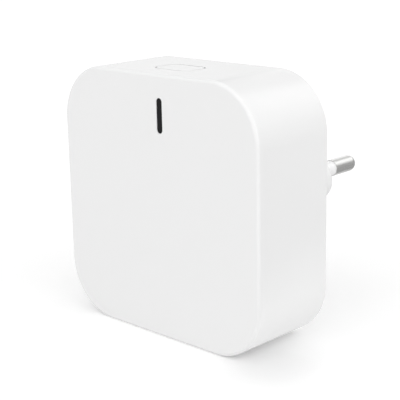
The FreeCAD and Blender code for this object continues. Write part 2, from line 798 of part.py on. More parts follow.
def build_switch_plunger():
    """Plunger that the button's stem pushes into the switch."""
    plunger = doc.addObject("Part::Cylinder", "switch_plunger")
    plunger.setExpression("Radius", bound("plunger_radius"))
    plunger.setExpression("Height", bound("plunger_stand + plunger_sunk"))
    place(plunger, "button_offset", BUTTON_Y, "%s - plunger_sunk" % SWITCH_TOP)
    return plunger


def build_main_board():
    """Logic board on the housing's bosses."""
    body = new_body("main_board")
    board = sketch_on(body, "XZ", MAIN_FRONT)
    rounded_rectangle(board, "0", MIDDLE, "width - 2*wall - 2*board_margin",
                      "height - 2*wall - 2*board_margin", "corner_radius - wall - board_margin")
    for x, z in MAIN_SCREWS:
        circle(board, x, z, "screw_radius + screw_hole_gap")
    for x, z in MAIN_PEGS:
        circle(board, x, z, "peg_radius + peg_gap")
    pad(board, "board_thick", "Board", backwards=True)
    return body


def build_power_board():
    """Mains board on the rear cover's posts."""
    body = new_body("power_board")
    board = sketch_on(body, "XZ", POWER_REAR)
    rectangle(board, "0", PLUG_Z, POWER_WIDE, "power_board_tall")
    for x, z in POWER_SCREWS:
        circle(board, x, z, "screw_radius + screw_hole_gap")
    pad(board, "power_board_thick", "Board")
    return body


def build_board_screws():
    """The four equal self-tapping screws of both boards, as one group."""
    screws = []
    spots = [(x, MAIN_REAR, z, "90") for x, z in MAIN_SCREWS]
    spots += [(x, POWER_FRONT, z, "-90") for x, z in POWER_SCREWS]
    for number, (x, y, z, roll) in enumerate(spots, 1):
        head = doc.addObject("Part::Cylinder", "ScrewHead%d" % number)
        head.setExpression("Radius", bound("screw_head_radius"))
        head.setExpression("Height", bound("screw_head_tall"))
        head.setExpression("Placement.Base.z", bound("-screw_head_tall"))
        shank = doc.addObject("Part::Cylinder", "ScrewShank%d" % number)
        shank.setExpression("Radius", bound("screw_radius"))
        shank.setExpression("Height", bound("screw_long"))
        screw = doc.addObject("Part::Fuse", "Screw%d" % number)
        screw.Base = head
        screw.Tool = shank
        place(screw, x, y, z, roll=roll)
        screws.append(screw)
    group = doc.addObject("Part::Compound", "board_screws")
    group.Links = screws
    return group


# Components stand on a board with their own Z away from it
ON_MAIN_REAR = {"y": MAIN_REAR, "roll": "-90"}
ON_MAIN_FRONT = {"y": MAIN_FRONT, "roll": "90"}
ON_POWER_FRONT = {"y": POWER_FRONT, "roll": "90"}


def slab(label, wide, tall, high, x, z, board):
    """A low square-edged block that stands on a board."""
    body = new_body(label)
    sketch = sketch_on(body, "XY")
    rectangle(sketch, "0", "0", wide, tall)
    pad(sketch, high, "Block")
    place(body, x, z=z, **board)
    return body


def shield_can(label, wide, tall, high, x, z, board, lift):
    """A folded sheet can, open towards the module below it."""
    body = new_body(label)
    outside = sketch_on(body, "XY", lift)
    rectangle(outside, "0", "0", wide, tall)
    pad(outside, high, "Outside")
    hollow = sketch_on(body, "XY", lift)
    rectangle(hollow, "0", "0", "(%s) - 2*shield_skin" % wide, "(%s) - 2*shield_skin" % tall)
    pocket(hollow, "(%s) - shield_skin" % high, "Inside", backwards=True)
    place(body, x, z=z, **board)
    return body


def leaded_chip(label, wide, tall, high, leads, x, z, board):
    """A moulded chip with a row of leads on its left and right."""
    body = new_body(label)
    feet = sketch_on(body, "XY")
    for index in range(leads):
        row = "%g*lead_pitch" % (index - (leads - 1) / 2)
        rectangle(feet, "0", row, "(%s) + 2*lead_reach" % wide, "lead_wide")
    pad(feet, "lead_thick", "Leads")
    mould = sketch_on(body, "XY")
    rectangle(mould, "0", "0", wide, tall)
    pad(mould, high, "Mould")
    place(body, x, z=z, **board)
    return body


def can(label, radius, length):
    """An electrolytic can along its own Z."""
    piece = doc.addObject("Part::Cylinder", label)
    piece.setExpression("Radius", bound(radius))
    piece.setExpression("Height", bound(length))
    return piece


def lying_can(label, radius, length, x, z, board):
    """A can or rod that lies on the board along X."""
    piece = can(label, radius, length)
    place(piece, "%s - (%s)/2" % (x, length), "%s - (%s)" % (board["y"], radius), z,
          yaw="90", roll="90")
    return piece


def standing_can(label, radius, length, x, z, board):
    """A can that stands on the board."""
    piece = can(label, radius, length)
    place(piece, x, z=z, **board)
    return piece


def build_filter_choke(x, z, board):
    """Drum-core choke with its wound waist."""
    body = new_body("filter_choke")
    profile = sketch_on(body, "XZ")
    polygon(profile, [("0", "0"), ("choke_radius", "0"), ("choke_radius", "choke_rim"),
                      ("choke_waist", "choke_rim"), ("choke_waist", CHOKE_TALL + " - choke_rim"),
                      ("choke_radius", CHOKE_TALL + " - choke_rim"),
                      ("choke_radius", CHOKE_TALL), ("0", CHOKE_TALL)])
    revolve(profile, "Drum")
    place(body, x, z=z, **board)
    return body


def disc(label, x, z, board):
    """A coated disc, such as a varistor, standing on its rim."""
    body = new_body(label)
    sketch = sketch_on(body, "YZ", "-disc_thick/2")
    circle(sketch, "0", DISC_RADIUS, DISC_RADIUS)
    pad(sketch, "disc_thick", "Disc")
    place(body, x, z=z, **board)
    return body


def build_transformer(x, z, board):
    """Small converter transformer: bobbin base, ferrite core and winding."""
    base = slab("transformer_bobbin", "bobbin_side", "bobbin_side", "bobbin_base",
                x, z, board)
    core = new_body("transformer_core")
    profile = sketch_on(core, "XZ", "-core_thick/2")
    middle = "(bobbin_base + %s/2)" % CORE_TALL
    rectangle(profile, "0", middle, "core_wide", CORE_TALL)
    window = "(winding_thick + 2*winding_gap)"
    for side in ("", "-"):
        rectangle(profile, "%s(core_leg/2 + %s/2)" % (side, window), middle, window,
                  CORE_TALL + " - 2*core_yoke")
    pad(profile, "core_thick", "Core", backwards=True)
    place(core, x, z=z, **board)
    winding = new_body("transformer_winding")
    ring = sketch_on(winding, "XY", "bobbin_base + core_yoke + winding_gap")
    inner_wide, inner_deep = "(core_leg + 2*winding_gap)", "(core_thick + 2*winding_gap)"
    rounded_rectangle(ring, "0", "0", "%s + 2*winding_thick" % inner_wide,
                      "%s + 2*winding_thick" % inner_deep, "winding_thick")
    rectangle(ring, "0", "0", inner_wide, inner_deep)
    pad(ring, CORE_TALL + " - 2*core_yoke - 2*winding_gap", "Winding")
    place(winding, x, z=z, **board)
    return [base, core, winding]


def build_link():
    """Pin header of the power board, its pins and the socket of the main board."""
    x, z = LINK_PLACE
    side, length = "link_pitch", "%d*link_pitch" % LINK_COUNT
    hole = "(link_pin_side + 2*link_hole_gap)"
    rows = ["%g*link_pitch" % (index - (LINK_COUNT - 1) / 2) for index in range(LINK_COUNT)]
    pieces = []
    for label, high, board in (("link_header", "link_base_tall", ON_POWER_FRONT),
                               ("link_socket", BOARD_GAP + " - link_base_tall", ON_MAIN_REAR)):
        body = new_body(label)
        block = sketch_on(body, "XY")
        rectangle(block, "0", "0", side, length)
        for row in rows:
            rectangle(block, "0", row, hole, hole)
        pad(block, high, "Block")
        place(body, x, z=z, **board)
        pieces.append(body)
    pins = []
    for number, row in enumerate(rows, 1):
        pin = doc.addObject("Part::Box", "LinkPin%d" % number)
        pin.setExpression("Length", bound("link_pin_side"))
        pin.setExpression("Width", bound("link_base_tall + link_pin_sunk"))
        pin.setExpression("Height", bound("link_pin_side"))
        place(pin, "%s - link_pin_side/2" % x,
              "%s - link_base_tall - link_pin_sunk" % POWER_FRONT,
              "%s + %s - link_pin_side/2" % (z, row))
        pins.append(pin)
    group = doc.addObject("Part::Compound", "link_pins")
    group.Links = pins
    return pieces + [group]


def build_status_led(label, shift):
    """Light source on the main board's front."""
    return slab(label, "led_wide", "led_long", "led_tall", "slot_offset",
                "%s + %s" % (SLOT_Z, shift), ON_MAIN_FRONT)


pieces = [
    build_front_housing(),
    build_rear_cover(),
    build_light_window(),
    build_light_guide(),
    build_pair_button(),
    build_tact_switch(),
    build_switch_plunger(),
    build_plug_pin(1, "plug_pin_right"),
    build_plug_pin(-1, "plug_pin_left"),
    build_pin_sleeve(1, "pin_sleeve_right"),
    build_pin_sleeve(-1, "pin_sleeve_left"),
    build_pin_retainer(),
    build_contact_strip(1, "contact_strip_right"),
    build_contact_strip(-1, "contact_strip_left"),
    build_main_board(),
    build_power_board(),
    build_board_screws(),
    build_status_led("status_led_upper", "slot_long/4"),
    build_status_led("status_led_lower", "-slot_long/4"),
]

# Main board, rear side
network_x, network_z = "-(width/2 - module_side)", "(%s - network_module_drop)" % MIDDLE
mesh_x, mesh_z = "(width/2 - module_side)", "(%s - mesh_module_drop)" % MIDDLE
pieces += [
    slab("network_module", "network_module_wide", "network_module_tall", "module_thick",
         network_x, network_z, ON_MAIN_REAR),
    shield_can("network_shield", "network_shield_wide", "network_shield_tall",
               "network_shield_high", network_x, network_z + " - network_shield_drop",
               ON_MAIN_REAR, "module_thick"),
    slab("mesh_module", "mesh_module_wide", "mesh_module_tall", "module_thick",
         mesh_x, mesh_z, ON_MAIN_REAR),
    shield_can("mesh_shield", "mesh_shield_wide", "mesh_shield_tall", "mesh_shield_high",
               mesh_x, mesh_z + " - mesh_shield_drop", ON_MAIN_REAR, "module_thick"),
    leaded_chip("memory_chip", "memory_side", "memory_side", "memory_high", 4,
                "0", "(height - memory_drop)", ON_MAIN_REAR),
    leaded_chip("regulator_chip", "chip_wide", "chip_long", "chip_high", 4,
                "-(width/2 - regulator_side)", "(height - regulator_drop)", ON_MAIN_REAR),
    slab("crystal", "crystal_wide", "crystal_long", "crystal_high",
         "0", "(height - crystal_drop)", ON_MAIN_REAR),
]

# Power board, front side
left_edge, right_edge = "(-%s/2)" % POWER_WIDE, "(%s/2)" % POWER_WIDE
upper_can_z = "(%s + power_board_tall/2 - %s)" % (PLUG_Z, BULK_RADIUS)
lower_can_z = "(%s - 2*%s - bulk_gap)" % (upper_can_z, BULK_RADIUS)
pieces += build_transformer(right_edge + " - transformer_side",
                            PLUG_Z + " + transformer_rise", ON_POWER_FRONT)
pieces += [
    lying_can("bulk_capacitor_upper", BULK_RADIUS, "bulk_long", left_edge + " + bulk_side",
              upper_can_z, ON_POWER_FRONT),
    lying_can("bulk_capacitor_lower", BULK_RADIUS, "bulk_long", left_edge + " + bulk_side",
              lower_can_z, ON_POWER_FRONT),
    standing_can("output_capacitor", "output_can_radius", OUTPUT_TALL,
                 right_edge + " - output_side", PLUG_Z + " + output_rise", ON_POWER_FRONT),
    build_filter_choke("-choke_side", PLUG_Z + " + choke_rise", ON_POWER_FRONT),
    disc("varistor", left_edge + " + varistor_side", PLUG_Z + " - varistor_drop",
         ON_POWER_FRONT),
    disc("safety_capacitor", "safety_side", PLUG_Z + " - safety_drop", ON_POWER_FRONT),
    lying_can("fuse_resistor", "fuse_radius", "fuse_long", left_edge + " + fuse_side",
              PLUG_Z + " - fuse_drop", ON_POWER_FRONT),
    leaded_chip("bridge_rectifier", "bridge_wide", "bridge_long", "bridge_high", 2,
                left_edge + " + bridge_side", PLUG_Z + " - bridge_drop", ON_POWER_FRONT),
    leaded_chip("control_chip", "chip_wide", "chip_long", "chip_high", 4,
                "-choke_side", PLUG_Z + " + control_rise", ON_POWER_FRONT),
    leaded_chip("output_diode", "diode_wide", "diode_long", "diode_high", 1,
                right_edge + " - diode_side", PLUG_Z + " + diode_rise", ON_POWER_FRONT),
]
pieces += build_link()

doc.recompute()
for item in doc.Objects:
    if {"Invalid", "Error"} & set(item.State):
        raise RuntimeError("%s did not build" % item.Label)
for piece in pieces:
    if piece.Shape.isNull() or not piece.Shape.isValid():
        raise RuntimeError("%s has no sound shape" % piece.Label)

os.makedirs("parts", exist_ok=True)
for piece in pieces:
    piece.Shape.exportStep("parts/%s.step" % piece.Label)
print("wrote %d pieces" % len(pieces))
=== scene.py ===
import json
import math

import bmesh
import bpy
from mathutils import Matrix, Vector


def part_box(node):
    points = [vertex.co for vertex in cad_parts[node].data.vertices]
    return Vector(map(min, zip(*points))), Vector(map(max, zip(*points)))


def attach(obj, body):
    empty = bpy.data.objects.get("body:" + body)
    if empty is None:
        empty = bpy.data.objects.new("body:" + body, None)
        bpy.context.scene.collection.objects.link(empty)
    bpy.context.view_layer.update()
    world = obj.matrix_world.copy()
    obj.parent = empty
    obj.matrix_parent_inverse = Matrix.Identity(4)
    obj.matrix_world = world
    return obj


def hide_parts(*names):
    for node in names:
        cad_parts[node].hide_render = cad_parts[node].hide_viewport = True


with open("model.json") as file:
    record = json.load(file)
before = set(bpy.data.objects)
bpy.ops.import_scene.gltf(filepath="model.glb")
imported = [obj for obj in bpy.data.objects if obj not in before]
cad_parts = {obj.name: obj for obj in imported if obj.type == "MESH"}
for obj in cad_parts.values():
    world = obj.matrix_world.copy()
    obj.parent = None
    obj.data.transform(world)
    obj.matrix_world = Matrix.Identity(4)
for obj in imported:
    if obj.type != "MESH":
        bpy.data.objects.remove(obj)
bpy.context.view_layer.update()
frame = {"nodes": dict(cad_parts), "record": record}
nodes = frame["nodes"]
scene = bpy.context.scene

MM = 0.001

# The part's own sizes in millimetres
FRONT_Y, TOP_Z = -11.25, 60.0
FRONT_WALL = 2.0
PLUG_Z, BOSS_END, END_WALL = 31.2, 29.65, 3.0
PIN_PITCH, TIP_PITCH, PIN_LONG, PIN_RADIUS = 18.6, 17.5, 19.0, 2.0
PIN_LEAN = math.atan((PIN_PITCH - TIP_PITCH) / 2 / PIN_LONG)
CORE_RADIUS, COLLAR_RADIUS, COLLAR_THICK, SEAT_GAP = 1.5, 3.2, 1.2, 0.12
TAIL_RADIUS, TAIL_LONG = 1.4, 5.0
SLEEVE_RADIUS, SLEEVE_LONG, SLEEVE_GAP = 1.84, 10.0, 0.02
SLOT_X, SLOT_WIDE, SLOT_LONG = 1.8, 1.7, 7.8
WINDOW_GAP, WINDOW_RIM = 0.05, 1.2
BUTTON_X, BUTTON_Y = -1.1, -1.65
BUTTON_WIDE, BUTTON_DEEP, BUTTON_CORNER = 10.5, 6.8, 2.0
FLANGE_TOP, FLANGE_UNDER, FLANGE_REACH, FLANGE_CORNER = 2.1, 3.1, 1.0, 0.4
STEM_RADIUS = 1.6

# Electrolytic cans: shrink sleeve, sunk top with its scored cross, rolled groove and leads
SLEEVE_SKIN, SLEEVE_LIP, CAN_SUNK = 0.15, 0.9, 0.15
SCORE_REACH, SCORE_HALF, SCORE_DEEP = 0.6, 0.09, 0.1
ROLL_UP, ROLL_HALF, ROLL_DEEP = 2.0, 0.5, 0.35
CAN_WIRE, CAN_WIRE_SPREAD = 0.3, 1.75

# Coated discs and the fuse resistor, mostly as shares of their own size
DISC_FLAT, DISC_CROWN, DISC_RIM = 0.7, 0.96, 0.75
DISC_SPREAD, DISC_FOOT, DISC_WIRE = 0.62, 0.55, 0.28
FUSE_CAP, FUSE_WAIST, FUSE_SLOPE, FUSE_WIRE = 0.22, 0.84, 1.3, 0.32
# How far a wire lead comes out before it bends, and the radius of the bend
WIRE_OUT, WIRE_BEND = 0.9, 0.5

# Choke winding, chip leads, printed antennas and screws
CHOKE_RIM, CHOKE_WAIST, CHOKE_PITCH = 1.0, 1.8, 0.45
CHOKE_LAYER, CHOKE_RIDGE, CHOKE_CLEAR = 0.32, 0.2, 0.05
LEAD_REACH, LEAD_WIDE, LEAD_THICK, LEAD_PITCH = 0.9, 0.4, 0.18, 1.27
# A chip's parting line as a share of its thickness, and how far out its leads come down
PARTING, LEAD_DOWN = 0.48, 0.45
ANTENNA_STEP, ANTENNA_TALL, ANTENNA_WIDE, ANTENNA_THICK = 1.0, 5.0, 0.32, 0.04
SCREW_RADIUS, SCREW_LONG, SCREW_PITCH, SCREW_CORE = 1.0, 4.0, 0.8, 0.72
SCREW_HEAD_RADIUS, SCREW_HEAD_TALL = 1.8, 1.3
RECESS_REACH, RECESS_HALF, RECESS_DEEP = 1.0, 0.24, 0.65
MAIN_SCREWS = [(-20.0, 48.0), (20.0, 11.5)]
POWER_SCREWS = [(-22.0, 46.2), (22.0, 16.2)]

# A turned end keeps a small flat of this radius at its middle
AXIS = 0.05
# In metres: points this close are one, and the edge radius of the square-cut inner parts
WELD, EDGE_RADIUS = 0.2e-6, 0.00006

# The white plastic, and how deep in metres the finishes' fine relief is
WHITE_TONE, WHITE_GLOSS = (0.87, 0.87, 0.87), 0.26
GRAIN_DEEP, LINES_DEEP, TRACKS_DEEP, LAPS_DEEP = 0.00002, 0.00001, 0.00004, 0.00006
# Board and tape patterns per metre, and the shares that their lines, rings and bores take
LEVEL_LANES, UPRIGHT_LANES, TRACK_BREAKS = 1100.0, 913.0, 110.0
TRACK_HALF, TRACK_GAPS, POUR_SCALE, POUR_SHARE = 0.14, 0.53, 70.0, 0.55
MASK_CLOUDS, TAPE_CLOUDS = 90.0, 500.0
HOLE_SCALE, RING_RADIUS, BORE_RADIUS = 230.0, 0.085, 0.04
TAPE_TURNS = 620.0

# Camera, from the photograph's outline: the image is 400 by 400 pixels
LENS = 99.95
SENSOR = 36.0
YAW = math.radians(44.34)
PITCH = math.radians(14.81)
ROLL = math.radians(-1.17)
DISTANCE = 0.24511
AIM = Vector((0.0, -0.01125, 0.030))
AIM_RIGHT = 0.00968
AIM_UP = 0.00167
CLIP_START = 0.01

WORLD_STRENGTH = 0.462
FLOOR_HALF, FLOOR_TONE = 3.0, (0.88, 0.88, 0.88)
# The floor's glow, for camera rays only: a plain level, more past the darkest place of the
# shadow, and more with each metre from there. Its dip at that place is a painted shadow.
FLOOR_GLOW, GLOW_PAST_PAINTED_SHADOW, GLOW_PER_METRE = 0.045, 0.158, 0.27
PAINTED_SHADOW_MIDDLE, PAINTED_SHADOW_REACH = (0.031, -0.007, 0.0), 0.019
# Flat sheets of dim glow past the white floor, which only reflections show, painted dark
# reflections: level and outline
REFLECTION_SHEET_HEIGHT = 0.0002
PAINTED_REFLECTION_FLATS = {
    "painted_reflection_flat_right": (0.10, [(0.030, -0.05), (1.0, -0.05), (1.0, 1.0), (0.078, 0.078),
                                (0.064, 0.035)]),
    "painted_reflection_flat_behind": (0.50, [(1.0, 1.0), (-0.6, 1.0), (-0.6, 0.09), (0.008, 0.09),
                                (0.008, 0.055), (0.045, 0.055), (0.078, 0.078)]),
}
# Upright sheets of dim glow, the same way, painted dark reflections: level, two ends, and lower
# and upper edge
PAINTED_REFLECTION_UPRIGHTS = {
    "painted_reflection_upright_right": (0.54, (1.0, -0.05), (1.0, 1.0), 0.0, 0.38),
    "painted_reflection_upright_behind": (0.54, (1.0, 1.0), (-0.6, 1.0), 0.0, 0.38),
    "painted_reflection_high_behind": (0.27, (-0.05, 1.0), (-0.9, 1.0), 0.50, 1.60),
}
# Lamps: place and side in metres, power in watts, and the place that all face
LAMP_AIM = (0.0, 0.0, 0.03)
LAMPS = {
    "front_lamp": {"place": (-0.10, -1.00, 0.50), "size": 1.80, "power": 7.52},
    "right_lamp": {"place": (1.10, -0.10, 0.50), "size": 1.60, "power": 8.10},
    "back_lamp": {"place": (-0.10, 1.00, 0.32), "size": 1.20, "power": 2.80},
    "top_lamp": {"place": (0.0, 0.0, 0.80), "size": 0.70, "power": 1.02},
}


# ---------------------------------------------------------------- node helpers

def link(tree, source, target):
    tree.links.new(source, target)


def feed(tree, socket, value):
    """Sets a socket to a constant, or links another socket to it."""
    if isinstance(value, bpy.types.NodeSocket):
        tree.links.new(value, socket)
    else:
        socket.default_value = value


def math_node(tree, operation, first, second=0.0, clamp=False):
    node = tree.nodes.new("ShaderNodeMath")
    node.operation = operation
    node.use_clamp = clamp
    feed(tree, node.inputs[0], first)
    feed(tree, node.inputs[1], second)
    return node.outputs[0]


def mix_colour(tree, share, first, second):
    node = tree.nodes.new("ShaderNodeMix")
    node.data_type = "RGBA"
    feed(tree, node.inputs["Factor"], share)
    feed(tree, node.inputs["A"], first)
    feed(tree, node.inputs["B"], second)
    return node.outputs["Result"]


def ramp(tree, source, low, high):
    """Maps low..high of the source to 0..1 with soft ends."""
    node = tree.nodes.new("ShaderNodeMapRange")
    node.interpolation_type = "SMOOTHSTEP"
    feed(tree, node.inputs["Value"], source)
    feed(tree, node.inputs["From Min"], low)
    feed(tree, node.inputs["From Max"], high)
    return node.outputs["Result"]


def noise(tree, vector, scale, detail=2.0, roughness=0.5):
    node = tree.nodes.new("ShaderNodeTexNoise")
    feed(tree, node.inputs["Vector"], vector)
    feed(tree, node.inputs["Scale"], scale)
    node.inputs["Detail"].default_value = detail
    node.inputs["Roughness"].default_value = roughness
    return node.outputs["Fac"]


def stretched(tree, vector, scales):
    node = tree.nodes.new("ShaderNodeVectorMath")
    node.operation = "MULTIPLY"
    feed(tree, node.inputs[0], vector)
    node.inputs[1].default_value = scales
    return node.outputs[0]


def new_group(name, inputs, outputs):
    """A shader node group with its named sockets, and its input and output nodes."""
    group = bpy.data.node_groups.new(name, "ShaderNodeTree")
    for label, kind, default in inputs:
        socket = group.interface.new_socket(label, in_out="INPUT", socket_type=kind)
        if default is not None:
            socket.default_value = default
    for label, kind in outputs:
        group.interface.new_socket(label, in_out="OUTPUT", socket_type=kind)
    return group, group.nodes.new("NodeGroupInput"), group.nodes.new("NodeGroupOutput")


FLOAT, COLOUR, VECTOR = "NodeSocketFloat", "NodeSocketColor", "NodeSocketVector"
SURFACE = [("Colour", COLOUR), ("Roughness", FLOAT), ("Height", FLOAT)]


def vary_tone_and_gloss(group, given, out, pattern):
    """Lets tone and gloss swing about their given values with the pattern."""
    centred = math_node(group, "SUBTRACT", pattern, 0.5)
    tone_shift = math_node(group, "MULTIPLY", centred, given.outputs["Tone Spread"])
    tint = group.nodes.new("ShaderNodeVectorMath")
    tint.operation = "SCALE"
    link(group, given.outputs["Tone"], tint.inputs[0])
    link(group, math_node(group, "ADD", tone_shift, 1.0), tint.inputs["Scale"])
    gloss_shift = math_node(group, "MULTIPLY", centred, given.outputs["Gloss Spread"])
    gloss = math_node(group, "ADD", given.outputs["Gloss"], gloss_shift, clamp=True)
    link(group, tint.outputs[0], out.inputs["Colour"])
    link(group, gloss, out.inputs["Roughness"])


def build_moulding_grain():
    """Fine spark-eroded grain of a moulded face, with slight cloudiness in tone and gloss."""
    group, given, out = new_group(
        "moulding_grain",
        [("Position", VECTOR, None), ("Grain per Metre", FLOAT, 6000.0),
         ("Cloud per Metre", FLOAT, 60.0), ("Tone Spread", FLOAT, 0.01),
         ("Tone", COLOUR, (0.8, 0.8, 0.8, 1.0)), ("Gloss", FLOAT, 0.4),
         ("Gloss Spread", FLOAT, 0.05)], SURFACE)
    place = given.outputs["Position"]
    grain = noise(group, place, given.outputs["Grain per Metre"], 3.0, 0.6)
    cloud = noise(group, place, given.outputs["Cloud per Metre"], 3.0, 0.55)
    vary_tone_and_gloss(group, given, out, cloud)
    link(group, grain, out.inputs["Height"])
    return group


def build_drawn_lines():
    """Fine lines left on metal by turning, drawing or rolling, along one direction."""
    group, given, out = new_group(
        "drawn_lines",
        [("Position", VECTOR, None), ("Lines per Metre", FLOAT, 4000.0),
         ("Tone", COLOUR, (0.7, 0.7, 0.7, 1.0)), ("Tone Spread", FLOAT, 0.08),
         ("Gloss", FLOAT, 0.2), ("Gloss Spread", FLOAT, 0.1)], SURFACE)
    fine = noise(group, given.outputs["Position"], given.outputs["Lines per Metre"], 4.0, 0.65)
    vary_tone_and_gloss(group, given, out, fine)
    link(group, fine, out.inputs["Height"])
    return group


MOULDING_GRAIN = build_moulding_grain()
DRAWN_LINES = build_drawn_lines()


def new_material(name):
    """A node material with its Principled shader and the position over the piece in metres."""
    material = bpy.data.materials.new(name)
    material.use_nodes = True
    tree = material.node_tree
    shader = tree.nodes["Principled BSDF"]
    place = tree.nodes.new("ShaderNodeTexCoord").outputs["Object"]
    return material, tree, shader, place


def bump(tree, shader, height, strength, distance):
    node = tree.nodes.new("ShaderNodeBump")
    node.inputs["Strength"].default_value = strength
    node.inputs["Distance"].default_value = distance
    link(tree, height, node.inputs["Height"])
    link(tree, node.outputs["Normal"], shader.inputs["Normal"])


def grouped(tree, group, values):
    node = tree.nodes.new("ShaderNodeGroup")
    node.node_tree = group
    for label, value in values.items():
        feed(tree, node.inputs[label], value)
    return node


def dress(tree, shader, surface, strength, deep):
    """Feeds a group's colour, gloss and height to the shader."""
    link(tree, surface.outputs["Colour"], shader.inputs["Base Color"])
    link(tree, surface.outputs["Roughness"], shader.inputs["Roughness"])
    bump(tree, shader, surface.outputs["Height"], strength, deep)


def moulded(name, tone, gloss, grain=6000.0, strength=0.08, spread=0.01, **constants):
    """A moulded plastic."""
    material, tree, shader, place = new_material(name)
    dress(tree, shader, grouped(tree, MOULDING_GRAIN, {
        "Position": place, "Grain per Metre": grain, "Tone": (*tone, 1.0), "Gloss": gloss,
        "Tone Spread": spread}), strength, GRAIN_DEEP)
    for label, value in constants.items():
        shader.inputs[label].default_value = value
    return material


def metal(name, tone, gloss, stretch, lines=4000.0, strength=0.05, spread=0.08):
    """A bare or plated metal with fine lines."""
    material, tree, shader, place = new_material(name)
    dress(tree, shader, grouped(tree, DRAWN_LINES, {
        "Position": stretched(tree, place, stretch), "Lines per Metre": lines,
        "Tone": (*tone, 1.0), "Gloss": gloss, "Tone Spread": spread}), strength, LINES_DEEP)
    shader.inputs["Metallic"].default_value = 1.0
    return material


def track_runs(tree, across, along, lanes):
    """Straight copper tracks of uneven length, side by side in lanes, as a mask."""
    lane = math_node(tree, "MULTIPLY", across, lanes)
    offset = math_node(tree, "SUBTRACT", math_node(tree, "FRACT", lane), 0.5)
    line = math_node(tree, "LESS_THAN", math_node(tree, "ABSOLUTE", offset), TRACK_HALF)
    far_apart = 5.37
    spot = tree.nodes.new("ShaderNodeCombineXYZ")
    link(tree, math_node(tree, "MULTIPLY", math_node(tree, "FLOOR", lane), far_apart),
         spot.inputs["X"])
    link(tree, math_node(tree, "MULTIPLY", along, TRACK_BREAKS), spot.inputs["Y"])
    present = math_node(tree, "GREATER_THAN", noise(tree, spot.outputs[0], 1.0, 0.0),
                        TRACK_GAPS)
    return math_node(tree, "MULTIPLY", line, present)


def board_laminate():
    """Green solder mask over tracks and plated holes, with the bare laminate at cut edges."""
    dark_mask, pale_mask = (0.030, 0.15, 0.065, 1.0), (0.042, 0.19, 0.085, 1.0)
    over_copper, tinned = (0.075, 0.29, 0.13, 1.0), (0.66, 0.64, 0.58, 1.0)
    hole_black, cut_laminate = (0.02, 0.02, 0.02, 1.0), (0.50, 0.46, 0.26, 1.0)
    material, tree, shader, place = new_material("circuit_board")
    apart = tree.nodes.new("ShaderNodeSeparateXYZ")
    link(tree, place, apart.inputs[0])
    level = track_runs(tree, apart.outputs["Z"], apart.outputs["X"], LEVEL_LANES)
    upright = track_runs(tree, apart.outputs["X"], apart.outputs["Z"], UPRIGHT_LANES)
    tracks = math_node(tree, "MAXIMUM", level, upright)
    cloud = noise(tree, place, MASK_CLOUDS, 3.0)
    pour = ramp(tree, noise(tree, place, POUR_SCALE, 0.0), 0.50, 0.51)
    flat = tree.nodes.new("ShaderNodeCombineXYZ")
    link(tree, apart.outputs["X"], flat.inputs["X"])
    link(tree, apart.outputs["Z"], flat.inputs["Y"])
    holes = tree.nodes.new("ShaderNodeTexVoronoi")
    holes.voronoi_dimensions = "2D"
    link(tree, flat.outputs[0], holes.inputs["Vector"])
    holes.inputs["Scale"].default_value = HOLE_SCALE
    ring = math_node(tree, "LESS_THAN", holes.outputs["Distance"], RING_RADIUS)
    bore = math_node(tree, "LESS_THAN", holes.outputs["Distance"], BORE_RADIUS)
    copper = math_node(tree, "MAXIMUM", tracks,
                       math_node(tree, "MULTIPLY", pour, POUR_SHARE))
    facing = tree.nodes.new("ShaderNodeSeparateXYZ")
    link(tree, tree.nodes.new("ShaderNodeTexCoord").outputs["Normal"], facing.inputs[0])
    edge = math_node(tree, "LESS_THAN", math_node(tree, "ABSOLUTE", facing.outputs["Y"]), 0.5)
    tone = mix_colour(tree, cloud, dark_mask, pale_mask)
    for mask, colour in ((copper, over_copper), (ring, tinned), (bore, hole_black),
                         (edge, cut_laminate)):
        tone = mix_colour(tree, mask, tone, colour)
    link(tree, tone, shader.inputs["Base Color"])
    mask_gloss = math_node(tree, "ADD", math_node(tree, "MULTIPLY", cloud, 0.1), 0.28)
    gloss = math_node(tree, "ADD", math_node(tree, "MULTIPLY", edge, 0.35), mask_gloss)
    link(tree, gloss, shader.inputs["Roughness"])
    bump(tree, shader, math_node(tree, "SUBTRACT", copper, bore), 0.4, TRACKS_DEEP)
    return material


def wound_tape():
    """Yellow polyester tape over a winding: overlapping turns with slightly raised edges."""
    dark_tape, pale_tape = (0.70, 0.54, 0.11, 1.0), (0.79, 0.65, 0.19, 1.0)
    under_lap = (0.52, 0.38, 0.07, 1.0)
    material, tree, shader, place = new_material("winding_tape")
    apart = tree.nodes.new("ShaderNodeSeparateXYZ")
    link(tree, place, apart.inputs[0])
    turn = math_node(tree, "FRACT", math_node(tree, "MULTIPLY", apart.outputs["Z"], TAPE_TURNS))
    lap = ramp(tree, turn, 0.86, 0.98)
    cloud = noise(tree, place, TAPE_CLOUDS, 3.0)
    tone = mix_colour(tree, lap, mix_colour(tree, cloud, dark_tape, pale_tape), under_lap)
    link(tree, tone, shader.inputs["Base Color"])
    link(tree, math_node(tree, "ADD", math_node(tree, "MULTIPLY", cloud, 0.15), 0.25),
         shader.inputs["Roughness"])
    height = math_node(tree, "ADD", turn, math_node(tree, "MULTIPLY", cloud, 0.3))
    bump(tree, shader, height, 0.5, LAPS_DEEP)
    return material


